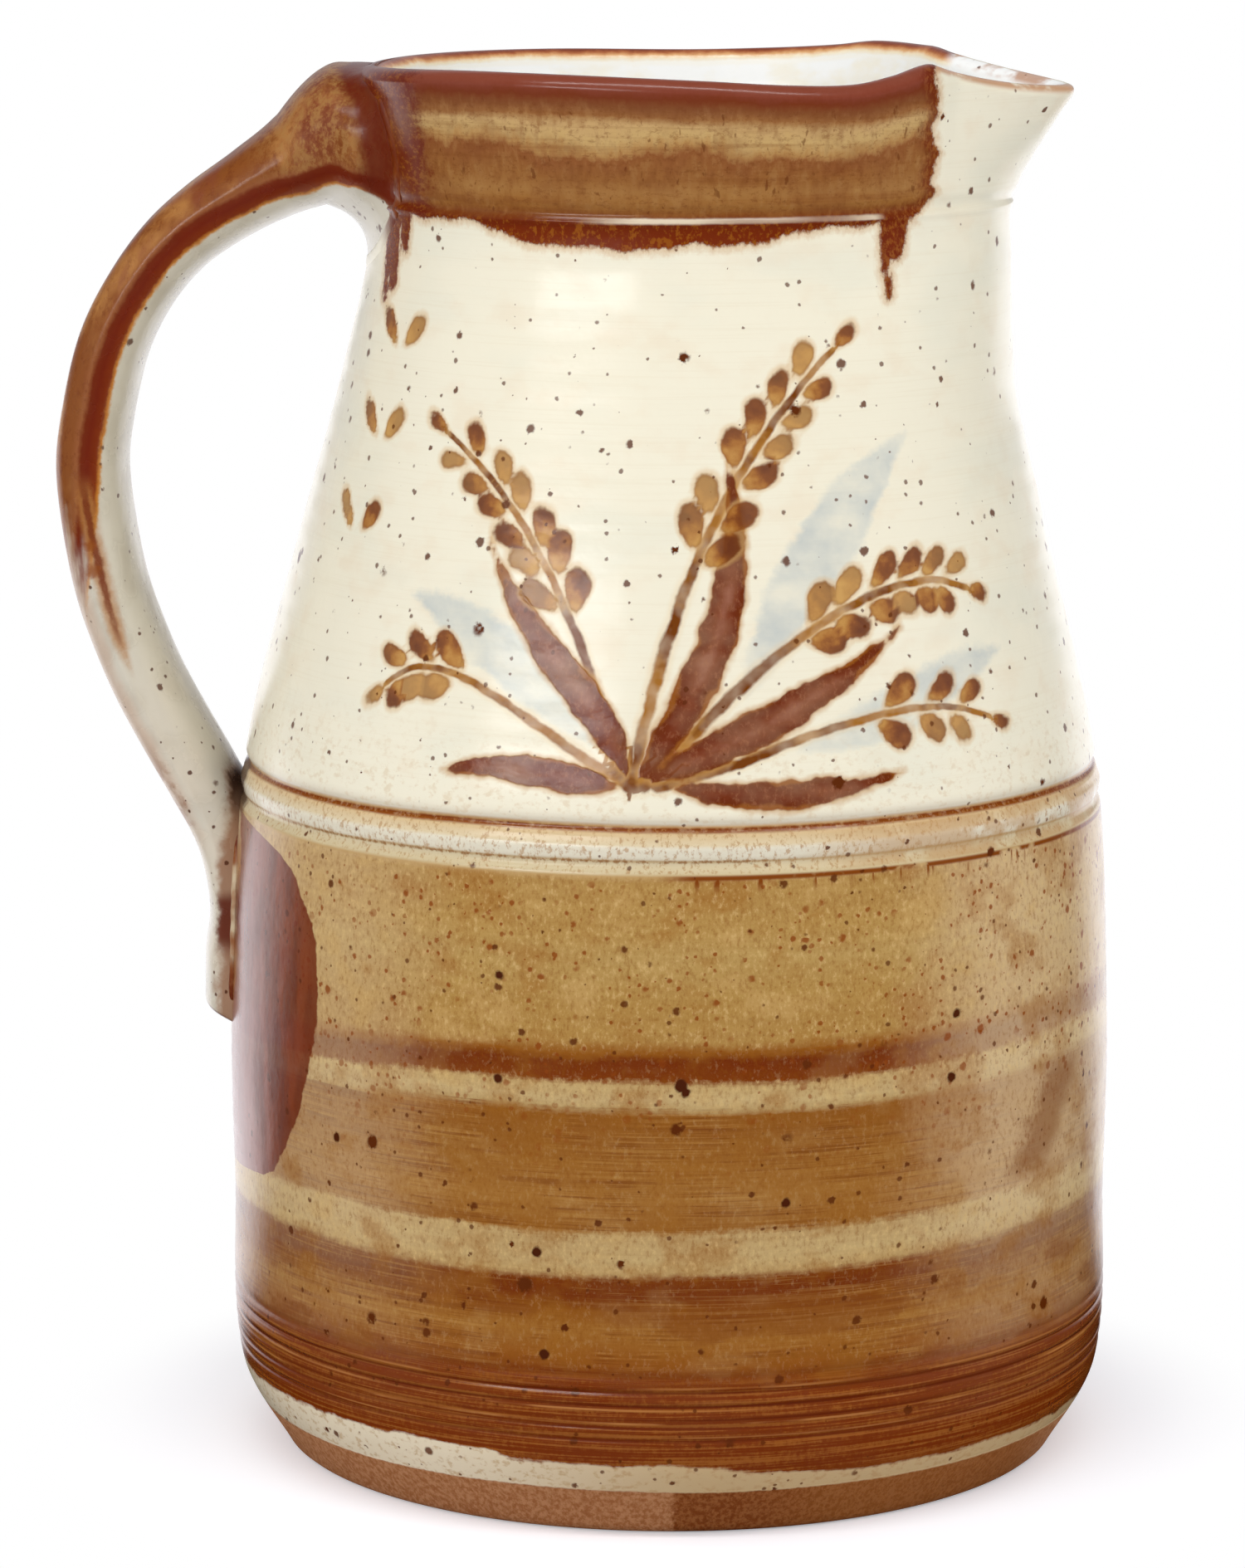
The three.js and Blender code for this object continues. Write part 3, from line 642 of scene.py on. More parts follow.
def bead(name, path, half, height, material, fields):
    """A low closed roll of slip that lies on the wall along a closed path."""
    _, phi, _, _ = wall_at(path)
    tilt = np.clip((path[:, 2] - LIP_Z) / LIP_ROUND, 0, 1)
    level = np.sqrt(1 - tilt ** 2)
    normal = np.stack([np.cos(phi) * level, np.sin(phi) * level, tilt], -1)
    along = np.roll(path, -1, 0) - np.roll(path, 1, 0)
    along /= np.linalg.norm(along, axis=1, keepdims=True)
    side = np.cross(along, normal)
    sink = 0.5 * smoothstep(path[:, 2], 245, 248)
    grid = []
    for turn in 2 * math.pi * np.arange(ROLL_COLUMNS) / ROLL_COLUMNS:
        out, up = math.cos(turn), math.sin(turn)
        lift = height * up ** 1.5 if up > 0 else 0.4 * up
        grid.append(path + side * half * out + normal * (lift - sink[:, None]))
    grid = np.array(grid)
    count = len(path)

    def uv_of(corners):
        _, row, column = corners.T
        return np.stack([0.01 + 0.98 * column / count, 0.05 + 0.9 * row / ROLL_COLUMNS], -1)

    values = {key: np.repeat(value[None, :], ROLL_COLUMNS, 0) for key, value in fields.items()}
    return grid_mesh(name, grid, None, uv_of, values, material)


def resampled(path, count):
    """A closed path at equal steps."""
    closed = np.concatenate([path, path[:1]])
    run = np.concatenate([[0], np.cumsum(np.linalg.norm(np.diff(closed, axis=0), axis=1))])
    places = np.linspace(0, run[-1], count + 1)[:-1]
    return np.stack([np.interp(places, run, closed[:, k]) for k in range(3)], -1)


def lower_seam_path(count=220):
    """Closed path on the wall round the pressed end of the strap."""
    t = 2 * math.pi * np.arange(count) / count
    z = 96.2 + 18.4 * squared(np.sin(t), 0.42)
    half = lerp(14.6, 12.6, smoothstep(z, 96, 115))
    u = half * squared(np.cos(t), 0.42)
    r = wall_radius(z)
    points = np.stack([-r * np.cos(u / r), u, z], -1)
    return on_wall(resampled(points, count), 0.0)


# Materials


def paint(red, green, blue):
    """A colour seen as sRGB, as Blender's linear values."""
    c = np.array([red, green, blue]) / 255
    linear = np.where(c <= 0.04045, c / 12.92, ((c + 0.055) / 1.055) ** 2.4)
    return (*map(float, linear), 1.0)


class Value:
    """The output of a node, which can be added to and multiplied."""

    def __init__(self, net, socket):
        self.net, self.socket = net, socket

    def __add__(self, other):
        return self.net.math("ADD", self, other)

    def __radd__(self, other):
        return self.net.math("ADD", other, self)

    def __mul__(self, other):
        return self.net.math("MULTIPLY", self, other)


class Net:
    """Shader nodes of one material or world."""

    def __init__(self, owner):
        self.owner = owner
        owner.use_nodes = True
        self.tree = owner.node_tree
        self.tree.nodes.clear()

    @cached_property
    def place(self):
        """Position in millimetres."""
        return self.vector("MULTIPLY", self.value("ShaderNodeTexCoord", output="Object"), (1000, 1000, 1000))

    def node(self, kind, sockets, **settings):
        node = self.tree.nodes.new(kind)
        for key, value in settings.items():
            setattr(node, key, value)
        for key, value in sockets.items():
            if isinstance(value, Value):
                self.tree.links.new(value.socket, node.inputs[key])
            else:
                node.inputs[key].default_value = value
        return node

    def value(self, kind, sockets={}, output=0, **settings):
        return Value(self, self.node(kind, sockets, **settings).outputs[output])

    def vector(self, operation, a, b):
        return self.value("ShaderNodeVectorMath", {0: a, 1: b}, operation=operation)

    def measure(self, operation, *vectors):
        """A number from vectors, such as a length or a dot product."""
        return self.value("ShaderNodeVectorMath", dict(enumerate(vectors)), "Value", operation=operation)

    def field(self, name):
        return self.value("ShaderNodeAttribute", output="Fac", attribute_name=name)

    def math(self, operation, *terms):
        return self.value("ShaderNodeMath", dict(enumerate(terms)), operation=operation)

    def step(self, x, low, high):
        """Smooth rise from 0 at low to 1 at high, or fall where low is the greater."""
        sockets = {"Value": x, "From Min": low, "From Max": high}
        return self.value("ShaderNodeMapRange", sockets, interpolation_type="SMOOTHSTEP")

    def spread(self, x, low, high, to_low, to_high):
        sockets = {"Value": x, "From Min": low, "From Max": high, "To Min": to_low, "To Max": to_high}
        return self.value("ShaderNodeMapRange", sockets)

    def noise(self, size, detail=3.0, roughness=0.5, seed=0.0):
        """Noise from 0 to 1 whose features are about size millimetres, a number or one for each axis."""
        size = np.ones(3) * size
        scaled = self.vector("MULTIPLY", self.place, tuple(float(1 / s) for s in size))
        moved = self.vector("ADD", scaled, (seed, seed * 0.7, seed * 1.3))
        sockets = {"Vector": moved, "Scale": 1, "Detail": detail, "Roughness": roughness}
        return self.value("ShaderNodeTexNoise", sockets, "Fac")

    def shift(self, noise, amount):
        """A noise turned into an addition between minus and plus amount."""
        return self.math("MULTIPLY_ADD", noise, 2 * amount, -amount)

    def uneven(self, x, *noises):
        """x with additions by noises, each (noise, amount)."""
        for noise, amount in noises:
            x = x + self.shift(noise, amount)
        return x

    def within(self, x, low, full, still, high):
        """Smooth rise from low to full and fall from still to high."""
        return self.step(x, low, full) * self.step(x, high, still)

    def mix(self, factor, a, b):
        """From a to b by factor. A colour is a value, or three numbers as seen."""
        a, b = (paint(*c) if isinstance(c, tuple) and len(c) == 3 else c for c in (a, b))
        return self.value("ShaderNodeMix", {0: factor, 6: a, 7: b}, 2, data_type="RGBA")

    def layered(self, base, *layers):
        """base under layers, each (colour, strength)."""
        for colour, strength in layers:
            base = self.mix(strength, base, colour)
        return base

    def ramp(self, x, *stops):
        """Colour at x through stops, each (x, red, green, blue)."""
        low, high = stops[0][0], stops[-1][0]
        node = self.node("ShaderNodeValToRGB", {0: self.spread(x, low, high, 0, 1)})
        elements = node.color_ramp.elements
        elements.remove(elements[1])
        elements[0].position, elements[0].color = 0, paint(*stops[0][1:])
        for value, *colour in stops[1:]:
            elements.new((value - low) / (high - low)).color = paint(*colour)
        return Value(self, node.outputs[0])

    def specks(self, cell, radius, share, seed):
        """Uneven specks up to radius, in a share of the cells of a three-dimensional pattern."""
        moved = self.vector("ADD", self.vector("MULTIPLY", self.place, (1 / cell,) * 3), (seed,) * 3)
        moved = self.vector("ADD", moved, self.shift(self.noise(0.9, 2, 0.6, seed), 0.45 * radius / cell))
        node = self.node("ShaderNodeTexVoronoi", {"Vector": moved, "Scale": 1})
        chance = self.value("ShaderNodeSeparateColor", {0: Value(self, node.outputs["Color"])})
        size = self.math("MAXIMUM", self.spread(chance, 1 - share, 1, 0, radius / cell), 0.004)
        return self.step(Value(self, node.outputs["Distance"]), size, size * 0.55)

    def spots(self, places):
        """Millimetres to the edge of the nearest of round spots, each (x, y, z, radius), below 0 inside."""
        nearest = 99.0
        for *place, radius in places:
            edge = self.math("SUBTRACT", self.measure("DISTANCE", self.place, place), radius)
            nearest = self.math("MINIMUM", edge, nearest)
        return nearest

    def by_ray(self, kind, others, these):
        """One shader for the rays of a kind, and another for the others."""
        ray = self.value("ShaderNodeLightPath", output=kind)
        return self.value("ShaderNodeMixShader", {0: ray, 1: others, 2: these})

    def finish(self, colour, roughness, relief, depth, **sockets):
        bump = self.value("ShaderNodeBump", {"Height": relief, "Distance": depth * MM, "Strength": 1})
        values = {"Base Color": colour, "Roughness": roughness, "Normal": bump, "IOR": 1.5, **sockets}
        self.node("ShaderNodeOutputMaterial", {"Surface": self.value("ShaderNodeBsdfPrincipled", values)})
        return self.owner


def new_net(name):
    return Net(bpy.data.materials.new(name))


CREAM = (236, 229, 206)


def body_glaze():
    net = new_net("body_glaze")
    field, noise, shift, step, spread = net.field, net.noise, net.shift, net.step, net.spread
    mix, ramp, uneven, within, layered = net.mix, net.ramp, net.uneven, net.within, net.layered
    z, across, beside, band = (field(n) for n in ("height", "across", "beside", "band"))
    inner, iron = field("inner"), field("iron")
    slow, blotch = noise((60, 60, 26), 2), noise((9, 9, 6), 4, seed=3)
    fine = noise((1.6, 1.6, 1.2), 3, 0.6, seed=5)
    brush = noise((46, 46, 1.5), 3, 0.65, seed=1)
    thin_brush = noise((36, 36, 0.5), 3, 0.7, seed=2)
    grain = noise(0.5, 2, seed=7)
    mottle = noise((0.8, 0.8, 1.3), 3, 0.7, seed=8)
    patches = noise((13, 13, 9), 4, 0.55, seed=16)
    soft = noise(4.2, 2, seed=13)

    # Brushed bands of the belly, foot to waist
    h = uneven(band, (slow, 2.2), (brush, 0.7), (fine, 0.9), (mottle, 0.35))
    low = ramp(h, (30, 120, 52, 4), (33, 142, 80, 18), (38.5, 158, 104, 38), (42.6, 138, 78, 14),
        (45.4, 110, 38, 0), (48.1, 118, 50, 0), (49.6, 188, 156, 100), (52, 194, 166, 112),
        (56, 190, 160, 106), (57.2, 150, 96, 34), (62, 160, 108, 44), (68, 152, 99, 36),
        (76.8, 142, 86, 24), (78.3, 190, 162, 108), (80, 198, 172, 120))
    high_band = ramp(h, (79, 198, 172, 120), (82.2, 192, 162, 106), (83.4, 122, 50, 0), (86.6, 110, 38, 0),
        (88.2, 144, 84, 16), (90.2, 176, 136, 70), (96, 176, 137, 70), (104, 184, 150, 86),
        (112, 180, 142, 76))
    sharp = uneven(z, (slow, 0.5), (brush, 0.25), (fine, 0.12))
    waist = ramp(sharp, (108, 180, 142, 76), (116.9, 178, 140, 76), (117.9, 188, 154, 100),
        (118.5, 206, 188, 148), (120.1, 212, 196, 160), (120.5, 188, 158, 112), (120.9, 218, 208, 184),
        (121.4, 224, 216, 194), (122.8, 224, 216, 194), (123.3, 218, 200, 164), (125.1, 212, 184, 138),
        (125.5, 136, 68, 10), (126, 122, 52, 0), (126.3, 184, 140, 86), (126.9, 222, 212, 190),
        (129, *CREAM))
    glaze = mix(step(h, 79, 80), low, high_band)
    banded = within(z, 17, 19, 117.4, 118.2)
    streaks = spread(brush, 0.3, 0.7, 0, 1)
    hairs = spread(thin_brush, 0.34, 0.66, 0, 1)
    browns = step(h, 79, 77.5) * (step(h, 55.5, 57.5) + step(h, 49.5, 47.5))
    dark = net.math("MAXIMUM", browns, within(h, 82.8, 83.8, 88, 89.6))
    light = spread(dark, 0, 1, 1, 0.3)
    # Painted reflection: the bands are made paler towards both sides of the front, more on the right, as a
    # sheen
    side_sheen = step(net.math("ABSOLUTE", across) + shift(patches, 16), 36, 66)
    side_sheen = side_sheen * spread(h, 44, 56, 0.4, 1) * spread(across, -60, 60, 0.3, 0.54)
    combed = browns * banded * step(blotch, 0.36, 0.56)
    rusty = within(z, 56, 90, 116, 118) * step(patches, 0.38, 0.54)
    glaze = layered(glaze,
        (waist, step(z, 104, 112)),
        ((130, 72, 6), banded * streaks * 0.22),
        ((112, 50, 4), combed * step(hairs, 0.5, 0.85) * 0.62),
        ((186, 138, 66), combed * step(hairs, 0.36, 0.16) * 0.3),
        ((222, 196, 154), banded * side_sheen),
        ((152, 96, 26), banded * step(patches, 0.5, 0.66) * 0.5),
        ((198, 160, 98), banded * light * step(patches, 0.46, 0.34) * 0.4),
        ((132, 74, 12), banded * step(mottle, 0.5, 0.7) * 0.42),
        ((216, 182, 122), banded * light * step(mottle, 0.48, 0.3) * 0.45))
    for cell, radius, seed_at in ((1.6, 0.62, 61.3), (3, 1, 67.9)):
        dots = net.specks(cell, radius, 0.9, seed_at) * rusty * 0.85
        glaze = mix(dots, glaze, (136, 62, 4))
    pencilled = within(z, 117, 117.5, 117.8, 118.3) * step(across, -4, 4) * step(blotch, 0.34, 0.44)
    runs = (within(z, 114.5, 117, 117.5, 118) * step(across, -4, 4)
        * step(noise((1.3, 1.3, 14), 2, seed=17), 0.6, 0.72))
    grainy = within(z, 118.2, 118.6, 125.8, 126.4) * step(mottle, 0.5, 0.66)
    browner = within(z, 118.2, 118.6, 124.8, 125.4) * step(across, 16, 44)
    dashed = within(z, 120, 120.3, 120.5, 120.8) * step(mottle, 0.42, 0.55)
    glaze = layered(glaze,
        ((128, 62, 8), net.math("MAXIMUM", pencilled, runs)),
        ((172, 122, 66), grainy * 0.6),
        ((186, 142, 88), browner * step(blotch, 0.36, 0.56) * 0.6),
        ((140, 90, 44), dashed * step(across, 24, 10) * 0.7))

    # Turned lines at the heel in a red-brown wash, smears above them and a cream hem below
    lines = net.math("SINE", z * 2.9 + shift(slow, 1.5))
    lines = lines * 0.65 + net.math("SINE", z * 4.9) * 0.4
    heel = within(h, 12, 14, 27, 33.5)
    cut = within(z, 18, 19.5, 28, 29.5)
    wash = mix(step(hairs + shift(mottle, 0.5), 0.3, 0.9), (116, 44, 2), (150, 86, 28))
    shown = cut * step(noise((18, 18, 3), 3, seed=18), 0.36, 0.58)
    smear = within(z, 27, 31, 44, 47) * step(noise((26, 26, 9), 3, seed=12), 0.52, 0.6)
    slant = across + z * -0.62 + shift(mottle, 4) + shift(blotch, 5)
    smudge = within(slant, 25, 33, 37, 45) * step(h, 56, 62) * step(h, 79, 74)
    hem = (uneven(z, (blotch, 1.2), (fine, 0.5), (brush, 0.8)) + step(across, -34, -28) * 1.5
        + step(across, -4, 36) * 2.6)
    cream_hem = mix(step(across, -46, 10), (226, 212, 184), (196, 168, 124))
    cream_hem = mix(step(fine, 0.5, 0.68) * 0.55, cream_hem, (180, 142, 94))
    glaze = layered(glaze,
        (wash, heel * 0.9),
        ((186, 124, 62), shown * step(lines, 0.5, 0.98) * 0.75),
        ((90, 24, 0), cut * step(lines, -0.3, -0.95) * 0.65),
        ((124, 62, 14), smear * 0.45),
        ((124, 64, 14), smudge * 0.6),
        (cream_hem, step(hem, 16.2, 15.4)))

    # Cream glaze of the shoulder, warm and cool in slow patches
    shoulder = step(z, 128, 133)
    warm = step(blotch, 0.5, 0.72)
    cool = step(noise((30, 30, 16), 3, seed=9), 0.5, 0.68)
    worn = within(z, 118, 128, 130, 148) * step(fine, 0.5, 0.7)
    glaze = layered(glaze,
        ((228, 208, 178), shoulder * warm * 0.3),
        ((220, 220, 202), shoulder * cool * 0.3),
        ((214, 196, 160), shoulder * step(hairs, 0.5, 1) * 0.1),
        ((206, 176, 132), worn * 0.35))

    # Brushed design: pale washes, stems, leaves and grains
    wash = uneven(field("wash"), (fine, 0.9), (blotch, 2))
    washed = step(wash, 0.8, -1.2)
    near = step(field("stem_near"), 2.6, 2)
    stem = net.math("ABSOLUTE", uneven(field("stem"), (fine, 0.2), (soft, 0.8)))
    stem_in = near * step(stem, 1.5, 0.7)
    stem_tone = mix(step(patches, 0.42, 0.58), (114, 56, 0), (160, 104, 34))
    leaf = uneven(field("leaf"), (soft, 1.1), (fine, 0.16))
    leaf_in, leaf_halo = step(leaf, 0.15, -0.3), step(leaf, 1, -0.1)
    leaf_tone = ramp(leaf + shift(blotch, 2.6), (-3.6, 144, 86, 64), (-2.4, 122, 56, 26),
        (-1.3, 108, 40, 8), (-0.6, 106, 40, 2), (-0.1, 140, 76, 14))
    leaf_tone = mix(step(mottle, 0.5, 0.7) * 0.4, leaf_tone, (160, 100, 64))
    seed = uneven(field("grain"), (soft, 0.7), (fine, 0.16))
    seed_in, seed_halo = step(seed, 0.15, -0.3), step(seed, 0.9, -0.1)
    way = uneven(field("grain_way"), (soft, 1.6), (fine, 0.5))
    seed_tone = ramp(way, (-1, 190, 138, 64), (-0.3, 162, 100, 30), (0.2, 124, 60, 8), (0.9, 98, 38, 2))
    seed_tone = layered(seed_tone,
        ((202, 158, 90), step(field("grain_tone"), 0.5, 0.8) * 0.55),
        ((118, 58, 4), step(seed, -0.6, -0.1) * 0.45))
    glaze = layered(glaze,
        ((186, 193, 190), washed * spread(blotch, 0.3, 0.7, 0.2, 0.85)),
        ((222, 190, 138), near * step(stem, 2.7, 1) * 0.35),
        (stem_tone, stem_in * spread(soft, 0.32, 0.62, 0.7, 1)),
        ((190, 138, 66), leaf_halo * 0.6),
        (leaf_tone, leaf_in * spread(patches, 0.35, 0.6, 0.84, 1)),
        ((206, 162, 96), seed_halo * 0.5),
        (seed_tone, seed_in * 0.94))

    # Dark patch left by a second dip where the handle ends, with a painted mauve reflection near the handle,
    # brown slip round the pressed end, and painted shade in the crevice above it
    patch = uneven(field("patch"), (fine, 0.5), (slow, 1.5), (soft, 1.2))
    patched = step(patch, -0.3, 0.3) * step(z, 118, 117)
    streaky = noise((5, 5, 22), 3, 0.6, seed=19)
    patch_tone = mix(step(streaky, 0.4, 0.62), (122, 46, 12), (100, 32, 8))
    # Painted reflection: a pale mauve sheen over the patch close to the handle, stronger low down
    mauve_sheen = step(beside + shift(streaky, 12), 46, 26) * spread(z, 55, 95, 0.8, 0.3)
    patch_tone = layered(patch_tone,
        ((112, 42, 10), step(patch, 4, 0.4) * 0.7),
        ((166, 122, 118), mauve_sheen))
    slip_edge = uneven(beside + spread(z, 80, 90, 6, 0) + spread(z, 108, 118, 0, 4), (soft, 3), (fine, 0.8))
    slip_tone = ramp(z + shift(soft, 5), (82, 160, 108, 62), (90, 150, 96, 48), (95, 130, 68, 22),
        (98, 100, 32, 0), (103, 104, 36, 4), (106, 168, 116, 68), (116, 206, 184, 148))
    slip_end = step(z + shift(soft, 5) + beside * -0.25, 72.4, 73.6)
    # Painted shade in the crevice above the strap's pressed end, just below the waist
    crevice_shade = step(beside + shift(soft, 2), 21.5, 17) * step(z, 127, 125.5) * step(z, 115, 119)
    glaze = layered(glaze,
        (patch_tone, patched * 0.93),
        (slip_tone, step(slip_edge, 21.6, 20) * step(z, 117.6, 116.6) * slip_end),
        ((60, 24, 6), crevice_shade * 0.85))

    # Iron glaze of the collar
    cloud = noise((17, 17, 30), 3, 0.55, seed=21)
    fringe = noise((1.7, 1.7, 4), 3, 0.6, seed=23)
    amid = within(z, 233, 236, 242, 244)
    collar_z = (uneven(z, (slow, 0.5), (blotch, 0.7), (fine, 0.5), (mottle, 0.5))
        + amid * (shift(cloud, -5.5) + shift(fringe, 2.2)))
    collar = ramp(collar_z, (222, 118, 40, 0), (226.4, 108, 34, 0), (227.4, 118, 56, 12),
        (229, 150, 98, 42), (232, 158, 110, 56), (234.5, 146, 94, 44), (237.6, 138, 82, 40),
        (239, 176, 132, 76), (241, 194, 160, 102), (243.2, 192, 156, 102), (244.6, 150, 100, 54),
        (246.2, 128, 74, 38), (247.8, 116, 50, 20), (249, 126, 58, 38), (252, 142, 76, 58))
    speckled = within(z, 226.6, 228, 245.5, 248)
    rough = noise((1.5, 1.5, 0.8), 4, 0.8, seed=22)
    ticks = step(noise((1.1, 1.1, 2.6), 2, 0.5, seed=24), 0.66, 0.72) * speckled
    golden = step(z, 227.5, 226.5) * step(mottle + shift(fine, 0.3), 0.5, 0.66)
    ragged = uneven(iron, (fine, 0.55), (mottle, 0.9))
    side = step(ragged, 3.8, 0.6) * step(across, 20, 32)
    rooted = step(uneven(beside, (blotch, 7), (rough, 6)), 43, 36)
    rooted_tone = mix(step(rough, 0.5, 0.62), (104, 28, 0), (136, 72, 14))
    ridge_line = within(sharp, 226.3, 226.8, 227.2, 227.7) * step(z, 225, 226)
    ridge_line = ridge_line * step(across, -20, -6) * step(across, 38, 35)
    ironed = step(ragged, -0.45, 0.35)
    bled = step(ragged, -1.9, -0.1) * 0.5
    collar = layered(collar,
        ((124, 66, 22), step(brush, 0.48, 0.66) * speckled * 0.35),
        ((112, 54, 14), step(fringe, 0.5, 0.68) * speckled * 0.26),
        ((204, 162, 100), step(fringe, 0.48, 0.32) * speckled * 0.1),
        ((96, 42, 6), ticks * 0.6),
        ((108, 50, 14), step(rough, 0.5, 0.66) * speckled * 0.4),
        ((124, 70, 34), step(patches, 0.5, 0.66) * speckled * 0.35),
        ((150, 84, 10), golden * 0.7),
        (mix(step(mottle, 0.45, 0.62), (106, 34, 4), (138, 74, 24)), side * 0.85),
        (rooted_tone, rooted * 0.9),
        ((224, 208, 180), ridge_line * step(slow, 0.3, 0.45) * 0.9))
    glaze = layered(glaze,
        ((196, 146, 80), bled),
        (collar, ironed))

    # Pale inside, with the iron bleeding over the rim, and a thin rust line along the pouring lip
    lining = mix(step(blotch, 0.45, 0.7), (255, 255, 252), (252, 247, 232))
    bleed_z = uneven(z, (blotch, 0.7), (fine, 0.3))
    bleed = ramp(bleed_z, (248.8, 255, 252, 242), (249.5, 250, 232, 198), (250, 226, 172, 118),
        (250.5, 178, 106, 66), (250.9, 136, 66, 44))
    bleeding = step(iron, -1, 1.5) * step(z, 247.8, 248.6)
    lining = mix(bleeding, lining, bleed)
    crest = step(z, 249.2, 250.4) * step(ragged, 0.1, -0.4) * step(blotch, 0.36, 0.5)
    glaze = layered(glaze,
        (lining, step(inner, 0.2, 0.8)),
        ((184, 118, 62), crest * 0.75))

    # Iron specks: many fine ones, a few large
    bare = step(z, 9.3, 8.6)
    for cell, radius, share, seed_at, strength in ((2.3, 0.6, 0.55, 3.1, 0.8), (4.4, 1.1, 0.5, 11.7, 0.9),
            (9, 1.8, 0.45, 27.3, 1)):
        dots = net.specks(cell, radius, share, seed_at) * step(ironed, 0.9, 0.2) * strength
        glaze = mix(dots, glaze, (92, 38, 2))
    places = []
    for degrees, height, radius in LARGE_SPECKS:
        r, turn = wall_radius(height), FRONT + math.radians(degrees)
        places.append((r * math.cos(turn), r * math.sin(turn), height, radius))
    large = net.spots(places) + shift(fine, 0.5)
    glaze = mix(step(large, 0.25, -0.25), glaze, (74, 28, 4))

    # Bare clay of the foot, darker where a wash ran over it
    clay = mix(step(mottle, 0.36, 0.64), (150, 94, 54), (178, 126, 86))
    wet = step(across + shift(fine, 2), -0.5, 0.8) * step(blotch, 0.22, 0.34)
    wet_tone = mix(step(across, 10, 34), (116, 54, 8), (134, 76, 26))
    wet_tone = mix(step(mottle, 0.4, 0.6) * 0.5, wet_tone, (160, 102, 54))
    clay_edge = uneven(z, (slow, 0.8), (fine, 0.3))
    outside = step(inner, 0.8, 0.2)
    clay = mix(wet * step(across, 92, 70) * 0.92, clay, wet_tone)
    glaze = mix(step(clay_edge, 9.2, 8.8) * outside, glaze, clay)

    # Gloss, relief and sheen
    gloss = mix(bare * outside, 0.23 + shift(blotch, 0.06), (0.82, 0.82, 0.82, 1))
    relief = (noise(2.6, 2, seed=31) * 0.5 + thin_brush * banded * step(beside, 60, 75) * 0.15
        + lines * cut * 0.9 + grain * bare * 1.6 + blotch * 0.5 + leaf_in * 0.35 + seed_in * 0.3
        + ironed * 0.5)
    sheen = spread(bare * outside, 0, 1, 0.5, 0.1)
    return net.finish(glaze, gloss, relief, 0.11, **{"Specular IOR Level": sheen})


